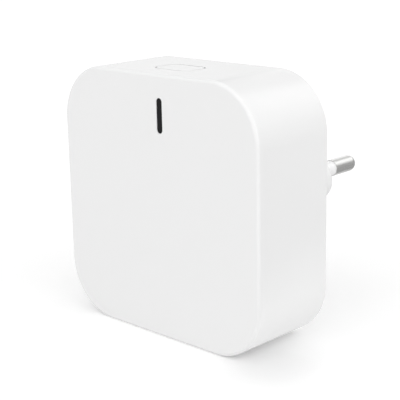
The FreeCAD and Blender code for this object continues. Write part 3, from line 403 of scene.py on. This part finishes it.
MATERIALS = {
    "white_plastic": moulded("white_plastic", WHITE_TONE, WHITE_GLOSS,
                             **{"Specular IOR Level": 0.65}),
    "smoked_plastic": moulded("smoked_plastic", (0.010, 0.010, 0.011), 0.1, strength=0.02,
                              **{"Specular IOR Level": 0.1}),
    "clear_plastic": moulded("clear_plastic", (0.85, 0.87, 0.9), 0.12, strength=0.02,
                             **{"Transmission Weight": 1.0, "IOR": 1.49}),
    "black_plastic": moulded("black_plastic", (0.03, 0.03, 0.03), 0.5, grain=9000.0,
                             strength=0.25, spread=0.25),
    "plated_brass": metal("plated_brass", (0.64, 0.64, 0.63), 0.26, (1.0, 0.05, 1.0)),
    "bare_brass": metal("bare_brass", (0.78, 0.62, 0.32), 0.3, (1.0, 0.1, 1.0), spread=0.2),
    "sleeve_plastic": moulded("sleeve_plastic", (0.92, 0.92, 0.92), 0.2),
    "retainer_plastic": moulded("retainer_plastic", (0.8, 0.8, 0.78), 0.5, grain=4000.0,
                                strength=0.15, spread=0.03),
    "circuit_board": board_laminate(),
    "screw_steel": metal("screw_steel", (0.55, 0.55, 0.56), 0.32, (1.0, 0.2, 1.0),
                         lines=6000.0, strength=0.1, spread=0.2),
    "led_plastic": moulded("led_plastic", (0.9, 0.88, 0.75), 0.15, grain=2500.0,
                           strength=0.05, spread=0.06),
    "tin_plate": metal("tin_plate", (0.66, 0.67, 0.66), 0.28, (1.0, 1.0, 0.05), spread=0.14),
    "ferrite": moulded("ferrite", (0.09, 0.09, 0.095), 0.7, grain=8000.0, strength=0.35,
                       spread=0.4),
    "winding_tape": wound_tape(),
    "can_sleeve": moulded("can_sleeve", (0.08, 0.08, 0.1), 0.22, grain=900.0,
                          strength=0.12, spread=0.15),
    "disc_coating": moulded("disc_coating", (0.1, 0.25, 0.55), 0.38, grain=1500.0,
                            strength=0.5, spread=0.12),
    "resistor_coating": moulded("resistor_coating", (0.35, 0.4, 0.35), 0.5, grain=2500.0,
                                strength=0.5, spread=0.12),
}
CAN_ALUMINIUM = metal("can_aluminium", (0.78, 0.78, 0.79), 0.26, (1.0, 1.0, 1.0),
                      lines=5000.0)
ENAMELLED_WIRE = metal("enamelled_wire", (0.62, 0.26, 0.11), 0.24, (1.0, 0.08, 0.08),
                       lines=3000.0)


def paint(piece, material):
    piece.data.materials.clear()
    piece.data.materials.append(material)


# ---------------------------------------------------------------- mesh helpers

def arc(centre_u, centre_v, radius, start, steps):
    """A quarter turn from the start angle, anticlockwise."""
    spots = []
    for step in range(steps + 1):
        angle = math.radians(start + 90 * step / steps)
        spots.append((centre_u + radius * math.cos(angle), centre_v + radius * math.sin(angle)))
    return spots


def rounded_outline(wide, tall, corner, steps=8):
    """An outline that can be inset: a rounded rectangle round the middle, anticlockwise."""
    def loop(inset):
        half_u, half_v = wide / 2 - inset, tall / 2 - inset
        radius = max(min(corner - inset, half_u, half_v), 0.02)
        in_u, in_v = half_u - radius, half_v - radius
        return (arc(in_u, in_v, radius, 0, steps) + arc(-in_u, in_v, radius, 90, steps)
                + arc(-in_u, -in_v, radius, 180, steps) + arc(in_u, -in_v, radius, 270, steps))
    return loop


def soften(points, radius, steps=4):
    """Rounds the inner corners of an open line of points."""
    out = [points[0]]
    for before, corner, after in zip(points, points[1:], points[2:]):
        before, corner, after = Vector(before), Vector(corner), Vector(after)
        back, ahead = before - corner, after - corner
        reach = min(radius, back.length * 0.45, ahead.length * 0.45)
        first, last = corner + back.normalized() * reach, corner + ahead.normalized() * reach
        for step in range(steps + 1):
            share = step / steps
            out.append(tuple(first * (1 - share) ** 2 + corner * 2 * share * (1 - share)
                             + last * share ** 2))
    out.append(points[-1])
    return out


def skin(rings, closed=False):
    """Points and faces through rings of equal length, with flat ends unless closed on itself."""
    count = len(rings[0])
    points = [point for ring in rings for point in ring]
    faces = []
    spans = len(rings) if closed else len(rings) - 1
    for row in range(spans):
        low, high = row * count, (row + 1) % len(rings) * count
        for step in range(count):
            turn = (step + 1) % count
            faces.append((low + step, low + turn, high + turn, high + step))
    if not closed:
        faces.append(tuple(range(count))[::-1])
        faces.append(tuple(range((len(rings) - 1) * count, len(rings) * count)))
    return points, faces


def lofted(outline, profile, place):
    """A slab: the outline in U and V at each inset and depth of the profile, set by place."""
    rings = []
    for inset, depth in profile:
        rings.append([place @ Vector((u, v, depth)) for u, v in outline(inset)])
    return skin(rings)


def turned(profile, place, segments=96, closed=False, relief=None):
    """A turned shape: radius and distance along the axis, set by place.

    The relief, where given, moves each point by its radius, angle and distance.
    """
    rings = []
    for radius, along in profile:
        ring = []
        for step in range(segments):
            angle = 2 * math.pi * step / segments
            wide, far = relief(radius, angle, along) if relief else (radius, along)
            ring.append(place @ Vector((wide * math.cos(angle), wide * math.sin(angle), far)))
        rings.append(ring)
    return skin(rings, closed)


def strip(path, section, place):
    """A bent strip or wire: the section, across and out of the path's plane, along the path."""
    rings = []
    for index, spot in enumerate(path):
        runs = []
        if index:
            runs.append((Vector(spot) - Vector(path[index - 1])).normalized())
        if index + 1 < len(path):
            runs.append((Vector(path[index + 1]) - Vector(spot)).normalized())
        ahead = sum(runs, Vector((0.0, 0.0))).normalized()
        stretch = 1 / max(ahead.dot(runs[0]), 0.5)
        ring = []
        for across, out in section:
            offset = Vector((-ahead.y, ahead.x)) * across * stretch
            ring.append(place @ Vector((spot[0] + offset.x, spot[1] + offset.y, out)))
        rings.append(ring)
    return skin(rings)


def flat_section(thick, wide):
    return [(-thick / 2, -wide / 2), (thick / 2, -wide / 2), (thick / 2, wide / 2),
            (-thick / 2, wide / 2)]


def round_section(radius, count=12):
    return [(radius * math.cos(2 * math.pi * step / count),
             radius * math.sin(2 * math.pi * step / count)) for step in range(count)]


def joined(*shapes):
    points, faces = [], []
    for more_points, more_faces in shapes:
        first = len(points)
        points.extend(more_points)
        faces.extend(tuple(first + index for index in face) for face in more_faces)
    return points, faces


def add_piece(name, shape, slot, body="root", replaces=(), sharp=35.0, finish=None):
    """A new piece in millimetres of the row frame, painted with the finish given or else the
    slot's material.
    """
    points, faces = shape
    mesh = bpy.data.meshes.new(name)
    mesh.from_pydata([Vector(point) * MM for point in points], [], faces)
    work = bmesh.new()
    work.from_mesh(mesh)
    bmesh.ops.remove_doubles(work, verts=work.verts, dist=WELD)
    bmesh.ops.recalc_face_normals(work, faces=work.faces)
    work.to_mesh(mesh)
    work.free()
    mesh.shade_smooth()
    mesh.set_sharp_from_angle(angle=math.radians(sharp))
    piece = bpy.data.objects.new(name, mesh)
    scene.collection.objects.link(piece)
    weigh = piece.modifiers.new("even_faces", "WEIGHTED_NORMAL")
    weigh.keep_sharp = True
    paint(piece, finish or MATERIALS[slot])
    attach(piece, body)
    if replaces:
        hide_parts(*replaces)
    return piece


def facing_front(x, y, z):
    """Place of a slab whose U is X, V is Z and whose depth runs backwards along Y."""
    return Matrix(((1, 0, 0, x), (0, 0, 1, y), (0, 1, 0, z), (0, 0, 0, 1)))


def facing_up(x, y, z):
    """Place of a slab whose U is X, V is Y and whose depth runs down from the top."""
    return Matrix(((1, 0, 0, x), (0, 1, 0, y), (0, 0, -1, z), (0, 0, 0, 1)))


# ---------------------------------------------------------------- the outer pieces

def pin_place(side):
    """A pin's own frame: its Z runs out of the plug and leans towards the middle."""
    along = Vector((-side * math.sin(PIN_LEAN), math.cos(PIN_LEAN), 0.0))
    across = Vector((math.cos(PIN_LEAN), side * math.sin(PIN_LEAN), 0.0))
    turn = Matrix((across, Vector((0.0, 0.0, -1.0)), along)).transposed().to_4x4()
    return Matrix.Translation((side * PIN_PITCH / 2, BOSS_END, PLUG_Z)) @ turn


def build_plug_pins():
    """Turned pins with domed ends, and the sleeves round their slim parts."""
    collar = -END_WALL - SEAT_GAP
    seat, shoulder = collar - COLLAR_THICK, PIN_LONG - PIN_RADIUS
    pin = soften([(AXIS, seat - TAIL_LONG), (TAIL_RADIUS, seat - TAIL_LONG), (TAIL_RADIUS, seat),
                  (COLLAR_RADIUS, seat), (COLLAR_RADIUS, collar), (CORE_RADIUS, collar),
                  (CORE_RADIUS, SLEEVE_LONG), (PIN_RADIUS, SLEEVE_LONG), (PIN_RADIUS, shoulder)],
                 0.03)
    dome_steps = 12
    for step in range(1, dome_steps + 1):
        angle = math.radians(88.5 * step / dome_steps)
        pin.append((PIN_RADIUS * math.cos(angle), shoulder + PIN_RADIUS * math.sin(angle)))
    bore, rim = CORE_RADIUS + SLEEVE_GAP, SLEEVE_LONG - SLEEVE_GAP
    sleeve = [(bore, -END_WALL), (SLEEVE_RADIUS, -END_WALL), (SLEEVE_RADIUS, rim), (bore, rim)]
    for side, word in ((1, "right"), (-1, "left")):
        place = pin_place(side)
        add_piece("pin_" + word, turned(pin, place), "plated_brass",
                  replaces=("plug_pin_" + word,))
        add_piece("sleeve_" + word, turned(sleeve, place, closed=True), "sleeve_plastic",
                  replaces=("pin_sleeve_" + word,))


def build_window():
    """Smoked lens: a tongue that fills the slot, and the flange behind the front wall."""
    low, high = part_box("light_window")
    front, back = low.y / MM, high.y / MM
    inner = FRONT_Y + FRONT_WALL
    middle_z = (low.z + high.z) / 2 / MM
    tongue = rounded_outline(SLOT_WIDE - 2 * WINDOW_GAP, SLOT_LONG - 2 * WINDOW_GAP,
                             SLOT_WIDE / 2 - WINDOW_GAP, 12)
    rim = WINDOW_RIM + WINDOW_GAP
    profile = soften([(0.35, front), (0.0, front), (0.0, inner), (-rim, inner), (-rim, back),
                      (0.3, back)], 0.06)
    place = facing_front(SLOT_X, 0.0, middle_z)
    add_piece("lens", lofted(tongue, profile, place), "smoked_plastic",
              replaces=("light_window",))


def build_button():
    """Push button: flush cap, flange under the top wall and the stem to the switch."""
    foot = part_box("pair_button")[0].z / MM
    place = facing_up(BUTTON_X, BUTTON_Y, TOP_Z)
    cap = rounded_outline(BUTTON_WIDE, BUTTON_DEEP, BUTTON_CORNER, 10)
    rim = rounded_outline(BUTTON_WIDE + 2 * FLANGE_REACH, BUTTON_DEEP + 2 * FLANGE_REACH,
                          FLANGE_CORNER, 10)
    upper = soften([(0.6, 0.0), (0.0, 0.0), (0.0, FLANGE_TOP)], 0.03)
    lower = soften([(0.9, FLANGE_TOP), (0.0, FLANGE_TOP), (0.0, FLANGE_UNDER),
                    (0.9, FLANGE_UNDER)], 0.1)
    rings = [[place @ Vector((u, v, depth)) for u, v in outline(inset)]
             for outline, profile in ((cap, upper), (rim, lower[1:]))
             for inset, depth in profile]
    stem_long = TOP_Z - FLANGE_UNDER - foot + 0.2
    stem = soften([(STEM_RADIUS - 0.4, 0.0), (STEM_RADIUS, 0.0), (STEM_RADIUS, stem_long)], 0.1)
    stem_place = Matrix.Translation((BUTTON_X, BUTTON_Y, foot))
    add_piece("button_cap", joined(skin(rings), turned(stem, stem_place, 48)),
              "white_plastic", body="button", replaces=("pair_button",))


# ---------------------------------------------------------------- the inner pieces

def node_box(name):
    """A node's lowest and highest corners, and its middle, in millimetres."""
    low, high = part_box(name)
    return low / MM, high / MM, (low + high) / 2 / MM


def along_x(x, y, z):
    """Place of a piece whose own Z runs to the right."""
    return Matrix(((0, 0, 1, x), (0, 1, 0, y), (-1, 0, 0, z), (0, 0, 0, 1)))


def on_power_board(x, y, z):
    """Place of a piece whose own Z runs forwards, off the mains board."""
    return Matrix(((1, 0, 0, x), (0, 0, -1, y), (0, 1, 0, z), (0, 0, 0, 1)))


def on_main_board(x, y, z):
    """Place of a piece whose own Z runs backwards, off the logic board."""
    return Matrix(((1, 0, 0, x), (0, 0, 1, y), (0, -1, 0, z), (0, 0, 0, 1)))


def in_cross(u, v, arm, half):
    return min(abs(u), abs(v)) < half and max(abs(u), abs(v)) < arm


def build_capacitor(name, node, place, radius, length):
    """Electrolytic can: scored aluminium top and rolled groove, in a shrink sleeve."""
    def scored(wide, angle, along):
        u, v = wide * math.cos(angle), wide * math.sin(angle)
        cut = (along > length - 2 * CAN_SUNK
               and in_cross(u, v, radius * SCORE_REACH, SCORE_HALF))
        return wide, along - (SCORE_DEEP if cut else 0.0)

    inner, face = radius - SLEEVE_SKIN, length - CAN_SUNK
    top = [(radius * 0.75 * (1 - step / 24), face) for step in range(24)]
    body = soften([(0.3, 0.12), (inner, 0.12), (inner, ROLL_UP - ROLL_HALF),
                   (inner - ROLL_DEEP, ROLL_UP), (inner, ROLL_UP + ROLL_HALF), (inner, face),
                   (radius * 0.78, face)], 0.3)
    add_piece(name + "_can", turned(body + top, place, relief=scored), "can_sleeve",
              replaces=(node,), finish=CAN_ALUMINIUM)
    # The sleeve follows the groove outside, and lies 0.01 off the can inside
    snug, mouth = inner + 0.01, radius - SLEEVE_LIP
    outer = soften([(inner - SLEEVE_LIP, 0.0), (radius, 0.0),
                    (radius, ROLL_UP - ROLL_HALF - 0.05), (radius - 0.33, ROLL_UP),
                    (radius, ROLL_UP + ROLL_HALF + 0.05), (radius, length), (mouth, length)],
                   0.25)
    lining = [(mouth, length - 0.12), (snug, length - 0.12), (snug, ROLL_UP + ROLL_HALF),
              (snug - ROLL_DEEP, ROLL_UP), (snug, ROLL_UP - ROLL_HALF), (snug, 0.1),
              (inner - SLEEVE_LIP, 0.1)]
    add_piece(name + "_sleeve", turned(outer + lining, place, closed=True), "can_sleeve",
              replaces=(node,))


def build_capacitors():
    """Two input cans that lie on the mains board with bent leads, and a standing output can."""
    for node in ("bulk_capacitor_upper", "bulk_capacitor_lower"):
        low, high, middle = node_box(node)
        turn = Matrix.Rotation(math.pi, 4, "X")
        place = along_x(high.x, middle.y, middle.z) @ turn
        build_capacitor(node, node, place, (high.z - low.z) / 2, high.x - low.x)
        path = soften([(-0.2, 0.0), (WIRE_OUT, 0.0), (WIRE_OUT, middle.y - high.y)], WIRE_BEND)
        leads = []
        for side in (-1, 1):
            plane = Matrix(((1, 0, 0, high.x), (0, -1, 0, middle.y),
                            (0, 0, 1, middle.z + side * CAN_WIRE_SPREAD), (0, 0, 0, 1)))
            leads.append(strip(path, round_section(CAN_WIRE), plane))
        add_piece(node + "_leads", joined(*leads), "tin_plate")
    low, high, middle = node_box("output_capacitor")
    build_capacitor("output_capacitor", "output_capacitor",
                    on_power_board(middle.x, high.y, middle.z), (high.x - low.x) / 2,
                    high.y - low.y)


def build_coated_discs():
    """Dipped discs that stand on the mains board on two leads."""
    for node in ("varistor", "safety_capacitor"):
        low, high, middle = node_box(node)
        radius, half = (high.z - low.z) / 2, (high.x - low.x) / 2
        flat, crown, rim = radius * DISC_FLAT, half * DISC_CROWN, half * DISC_RIM
        outline = soften([(AXIS, -half), (flat, -crown), (radius, -rim), (radius, rim),
                          (flat, crown), (AXIS, half)], 0.9, 6)
        rise = radius * DISC_FOOT
        coat = soften([(AXIS, rise * 0.35), (0.42, rise * 0.35), (0.8, rise), (AXIS, rise)], 0.1)
        wire = [(AXIS, 0.0), (DISC_WIRE, 0.0), (DISC_WIRE, rise * 0.6), (AXIS, rise * 0.6)]
        shapes, leads = [turned(outline, along_x(*middle))], []
        for side in (-1, 1):
            foot = on_power_board(middle.x, high.y, middle.z + side * radius * DISC_SPREAD)
            shapes.append(turned(coat, foot, 24))
            leads.append(turned(wire, foot, 16))
        add_piece(node + "_disc", joined(*shapes), "disc_coating", replaces=(node,))
        add_piece(node + "_leads", joined(*leads), "tin_plate")


def build_fuse_resistor():
    """Dog-bone resistor body on bent leads."""
    low, high, middle = node_box("fuse_resistor")
    radius, length = (high.z - low.z) / 2, high.x - low.x
    waist, cap = radius * FUSE_WAIST, length * FUSE_CAP
    slope = cap * FUSE_SLOPE
    outline = soften([(AXIS, 0.0), (radius, 0.0), (radius, cap), (waist, slope),
                      (waist, length - slope), (radius, length - cap), (radius, length),
                      (AXIS, length)], 0.8, 6)
    add_piece("fuse_body", turned(outline, along_x(low.x, middle.y, middle.z)),
              "resistor_coating", replaces=("fuse_resistor",))
    path = soften([(-0.3, 0.0), (WIRE_OUT, 0.0), (WIRE_OUT, -radius)], WIRE_BEND)
    leads = []
    for x, way in ((low.x, -1), (high.x, 1)):
        plane = Matrix(((way, 0, 0, x), (0, -1, 0, middle.y), (0, 0, 1, middle.z),
                        (0, 0, 0, 1)))
        leads.append(strip(path, round_section(FUSE_WIRE), plane))
    add_piece("fuse_leads", joined(*leads), "tin_plate")


def build_choke_winding():
    """Turns of enamelled wire in the waist of the drum core."""
    low, high, middle = node_box("filter_choke")
    place = on_power_board(middle.x, high.y, middle.z)
    start, end = CHOKE_RIM + CHOKE_CLEAR, high.y - low.y - CHOKE_RIM - CHOKE_CLEAR
    turns = round((end - start) / CHOKE_PITCH)
    pitch, steps = (end - start) / turns, 6
    profile = []
    for step in range(turns * steps + 1):
        ridge = CHOKE_RIDGE * abs(math.sin(math.pi * step / steps))
        profile.append((CHOKE_WAIST + CHOKE_LAYER + ridge, start + pitch * step / steps))
    inner = [(CHOKE_WAIST + 0.02, end), (CHOKE_WAIST + 0.02, start)]
    add_piece("choke_winding", turned(profile + inner, place, 64, closed=True), "winding_tape",
              finish=ENAMELLED_WIRE, sharp=60.0)


def build_chips():
    """Moulded chips with tapered sides and bent leads on both sides."""
    places = {"memory_chip": (on_main_board, 4), "regulator_chip": (on_main_board, 4),
              "bridge_rectifier": (on_power_board, 2), "control_chip": (on_power_board, 4),
              "output_diode": (on_power_board, 1)}
    for node, (on_board, count) in places.items():
        low, high, middle = node_box(node)
        wide, tall = high.x - low.x - 2 * LEAD_REACH, high.z - low.z
        thick = high.y - low.y
        foot = low.y if on_board is on_main_board else high.y
        place = on_board(middle.x, foot, middle.z)
        parting = thick * PARTING
        mould = soften([(0.3, 0.1), (0.12, 0.1), (0.0, parting), (0.14, thick), (0.4, thick)],
                       0.1)
        add_piece(node + "_mould", lofted(rounded_outline(wide, tall, 0.15, 3), mould, place),
                  "black_plastic", replaces=(node,))
        edge, on_pad = wide / 2, LEAD_THICK / 2
        path = soften([(edge - 0.3, parting), (edge + 0.3, parting),
                       (edge + LEAD_DOWN, on_pad), (edge + LEAD_REACH, on_pad)], 0.15)
        section = flat_section(LEAD_THICK, LEAD_WIDE if count > 1 else tall * 0.5)
        leads = []
        for side in (-1, 1):
            for row in range(count):
                shift = (row - (count - 1) / 2) * LEAD_PITCH
                plane = place @ Matrix(((side, 0, 0, 0), (0, 0, 1, shift), (0, 1, 0, 0),
                                        (0, 0, 0, 1)))
                leads.append(strip(path, section, plane))
        add_piece(node + "_leads", joined(*leads), "tin_plate", replaces=(node,))


def build_screws():
    """Self-tapping pan-head screws with a cross recess and a cut thread."""
    main_rear = node_box("main_board")[1].y
    power_front = node_box("power_board")[0].y
    top = SCREW_HEAD_TALL

    def cut(wide, angle, along):
        if along < -0.05:
            turn = (along / SCREW_PITCH - angle / (2 * math.pi)) % 1.0
            ridge = max(0.0, 1 - abs(turn - 0.5) * 4)
            return wide * (SCREW_CORE + (1 - SCREW_CORE) * ridge), along
        u, v = wide * math.cos(angle), wide * math.sin(angle)
        if along > top * 0.6 and in_cross(u, v, RECESS_REACH, RECESS_HALF):
            return wide, along - RECESS_DEEP * (1 - 0.4 * wide)
        return wide, along

    profile = [(AXIS, -SCREW_LONG), (0.35, -SCREW_LONG)]
    steps, crown_steps = 56, 20
    for step in range(steps + 1):
        along = -SCREW_LONG + 0.1 + (SCREW_LONG - 0.2) * step / steps
        profile.append((min(SCREW_RADIUS, 0.45 + (along + SCREW_LONG)), along))
    profile += soften([(SCREW_RADIUS, 0.0), (SCREW_HEAD_RADIUS, 0.0),
                       (SCREW_HEAD_RADIUS, top * 0.55),
                       (SCREW_HEAD_RADIUS * 0.8, top * 0.92)], 0.2)
    for step in range(crown_steps):
        out = 1 - step / crown_steps
        profile.append((SCREW_HEAD_RADIUS * 0.78 * out, top * (1 - 0.08 * out ** 2)))
    places = [on_main_board(x, main_rear, z) for x, z in MAIN_SCREWS]
    places += [on_power_board(x, power_front, z) for x, z in POWER_SCREWS]
    shapes = [turned(profile, place, 64, relief=cut) for place in places]
    add_piece("tapping_screws", joined(*shapes), "screw_steel", replaces=("board_screws",))


def build_antennas():
    """Printed meander antennas on the free ends of the radio modules."""
    for node, shield in (("network_module", "network_shield"), ("mesh_module", "mesh_shield")):
        low, high = node_box(node)[:2]
        top = high.z - 0.6
        base = max(node_box(shield)[1].z + 1.0, top - ANTENNA_TALL)
        path, rising = [], True
        x = low.x + 1.0
        while x < high.x - 0.9:
            ends = (base, top) if rising else (top, base)
            path += [(x, ends[0]), (x, ends[1])]
            rising = not rising
            x += ANTENNA_STEP
        plane = Matrix(((1, 0, 0, 0), (0, 0, 1, high.y + ANTENNA_THICK / 2), (0, 1, 0, 0),
                        (0, 0, 0, 1)))
        add_piece(node.replace("module", "antenna"),
                  strip(path, flat_section(ANTENNA_WIDE, ANTENNA_THICK), plane), "bare_brass")


def round_box_edges():
    """A small edge radius on the square-cut inner parts."""
    for node in ("network_module", "mesh_module", "network_shield", "mesh_shield", "crystal",
                 "status_led_upper", "status_led_lower", "tact_switch", "transformer_bobbin",
                 "transformer_core", "link_header", "link_socket", "link_pins",
                 "contact_strip_right", "contact_strip_left", "pin_retainer", "light_guide",
                 "switch_plunger", "filter_choke", "main_board", "power_board"):
        edge = nodes[node].modifiers.new("edge_radius", "BEVEL")
        edge.width = EDGE_RADIUS
        edge.segments = 2
        edge.limit_method = "ANGLE"
        edge.angle_limit = math.radians(50)
        edge.harden_normals = True


for part in frame["record"]["subparts"]:
    paint(nodes[part["node"]], MATERIALS[part["material_slot"]])

build_plug_pins()
build_window()
build_button()
build_capacitors()
build_coated_discs()
build_fuse_resistor()
build_choke_winding()
build_chips()
build_screws()
build_antennas()
round_box_edges()


# ---------------------------------------------------------------- camera, floor and lights

def build_camera():
    back = Vector((math.sin(YAW) * math.cos(PITCH), -math.cos(YAW) * math.cos(PITCH),
                   math.sin(PITCH)))
    right = Vector((math.cos(YAW), math.sin(YAW), 0.0))
    up = back.cross(right)
    turned_right = math.cos(ROLL) * right + math.sin(ROLL) * up
    turned_up = math.cos(ROLL) * up - math.sin(ROLL) * right
    camera = bpy.data.objects.new("camera", bpy.data.cameras.new("camera"))
    camera.data.lens = LENS
    camera.data.sensor_width = SENSOR
    camera.data.clip_start = CLIP_START
    place = AIM + right * AIM_RIGHT + up * AIM_UP + back * DISTANCE
    turn = Matrix((turned_right, turned_up, back)).transposed()
    camera.matrix_world = Matrix.Translation(place) @ turn.to_4x4()
    scene.collection.objects.link(camera)
    scene.camera = camera


def any_ray(tree, *kinds):
    """A mask of the rays that are of any of these kinds."""
    path = tree.nodes.new("ShaderNodeLightPath")
    share = path.outputs[kinds[0]]
    for kind in kinds[1:]:
        share = math_node(tree, "MAXIMUM", share, path.outputs[kind])
    return share


def mix_shaders(tree, share, first, second):
    mixer = tree.nodes.new("ShaderNodeMixShader")
    link(tree, share, mixer.inputs[0])
    link(tree, first, mixer.inputs[1])
    link(tree, second, mixer.inputs[2])
    return mixer.outputs[0]


def build_world():
    """A white studio: its level lights the object, and rays that see it show plain white."""
    world = bpy.data.worlds.new("studio")
    scene.world = world
    world.use_nodes = True
    tree = world.node_tree
    tree.nodes.clear()
    plain, seen = (tree.nodes.new("ShaderNodeBackground") for _ in range(2))
    for background, strength in ((plain, WORLD_STRENGTH), (seen, 1.0)):
        background.inputs["Color"].default_value = (1.0, 1.0, 1.0, 1.0)
        background.inputs["Strength"].default_value = strength
    straight = any_ray(tree, "Is Camera Ray", "Is Glossy Ray", "Is Transmission Ray")
    link(tree, mix_shaders(tree, straight, plain.outputs[0], seen.outputs[0]),
         tree.nodes.new("ShaderNodeOutputWorld").inputs["Surface"])


def flat_sheet(name, corners):
    mesh = bpy.data.meshes.new(name)
    mesh.from_pydata(corners, [], [tuple(range(len(corners)))])
    sheet = bpy.data.objects.new(name, mesh)
    scene.collection.objects.link(sheet)
    return sheet


def build_floor():
    """White studio floor: it keeps the shadow, its camera-ray glow is least round one place to
    paint shade there, and reflections show it plain white.
    """
    floor = flat_sheet("floor", [(-FLOOR_HALF, -FLOOR_HALF, 0), (FLOOR_HALF, -FLOOR_HALF, 0),
                                 (FLOOR_HALF, FLOOR_HALF, 0), (-FLOOR_HALF, FLOOR_HALF, 0)])
    material, tree, shader, place = new_material("white_floor")
    shader.inputs["Base Color"].default_value = (*FLOOR_TONE, 1.0)
    shader.inputs["Roughness"].default_value = 0.9
    shader.inputs["Specular IOR Level"].default_value = 0.0
    # The camera-ray glow is least at the painted shadow's middle, which paints shade on the floor
    # there
    spot = tree.nodes.new("ShaderNodeVectorMath")
    spot.operation = "DISTANCE"
    link(tree, place, spot.inputs[0])
    spot.inputs[1].default_value = PAINTED_SHADOW_MIDDLE
    away = spot.outputs["Value"]
    past_painted_shadow = math_node(tree, "MULTIPLY", ramp(tree, away, 0.0, PAINTED_SHADOW_REACH),
                            GLOW_PAST_PAINTED_SHADOW)
    outward = math_node(tree, "MULTIPLY", away, GLOW_PER_METRE)
    level = math_node(tree, "ADD", math_node(tree, "ADD", past_painted_shadow, outward), FLOOR_GLOW)
    glow = tree.nodes.new("ShaderNodeEmission")
    link(tree, math_node(tree, "MULTIPLY", any_ray(tree, "Is Camera Ray"), level),
         glow.inputs["Strength"])
    glowing = tree.nodes.new("ShaderNodeAddShader")
    link(tree, shader.outputs[0], glowing.inputs[0])
    link(tree, glow.outputs[0], glowing.inputs[1])
    plain_white = tree.nodes.new("ShaderNodeEmission").outputs[0]
    reflected = any_ray(tree, "Is Glossy Ray", "Is Transmission Ray")
    link(tree, mix_shaders(tree, reflected, glowing.outputs[0], plain_white),
         tree.nodes["Material Output"].inputs["Surface"])
    paint(floor, material)


def build_painted_reflection_sheets():
    """Sheets of dim glow past the white floor, to the right and behind, that only reflections
    show: painted dark reflections.
    """
    sheets = [(flat_sheet(name, [(x, y, REFLECTION_SHEET_HEIGHT) for x, y in outline]), level)
              for name, (level, outline) in PAINTED_REFLECTION_FLATS.items()]
    for name, (level, start, end, low, high) in PAINTED_REFLECTION_UPRIGHTS.items():
        upright_sheet = flat_sheet(name, [(*start, low), (*end, low), (*end, high), (*start, high)])
        sheets.append((upright_sheet, level))
    for sheet, level in sheets:
        material, tree = new_material(sheet.name)[:2]
        # A dim glow, no lamp, seen only by reflections: painted dark reflections
        dim = tree.nodes.new("ShaderNodeEmission")
        dim.inputs["Strength"].default_value = level
        link(tree, dim.outputs[0], tree.nodes["Material Output"].inputs["Surface"])
        paint(sheet, material)
        sheet.visible_camera = False
        sheet.visible_diffuse = False
        sheet.visible_shadow = False
        sheet.visible_transmission = False


def build_lamps():
    for name, facts in LAMPS.items():
        data = bpy.data.lights.new(name, "AREA")
        data.shape = "SQUARE"
        data.size = facts["size"]
        data.energy = facts["power"]
        lamp = bpy.data.objects.new(name, data)
        lamp.location = facts["place"]
        lamp.rotation_euler = (lamp.location - Vector(LAMP_AIM)).to_track_quat("Z", "Y").to_euler()
        scene.collection.objects.link(lamp)


build_camera()
build_world()
build_floor()
build_painted_reflection_sheets()
build_lamps()
scene.view_settings.view_transform = "Standard"
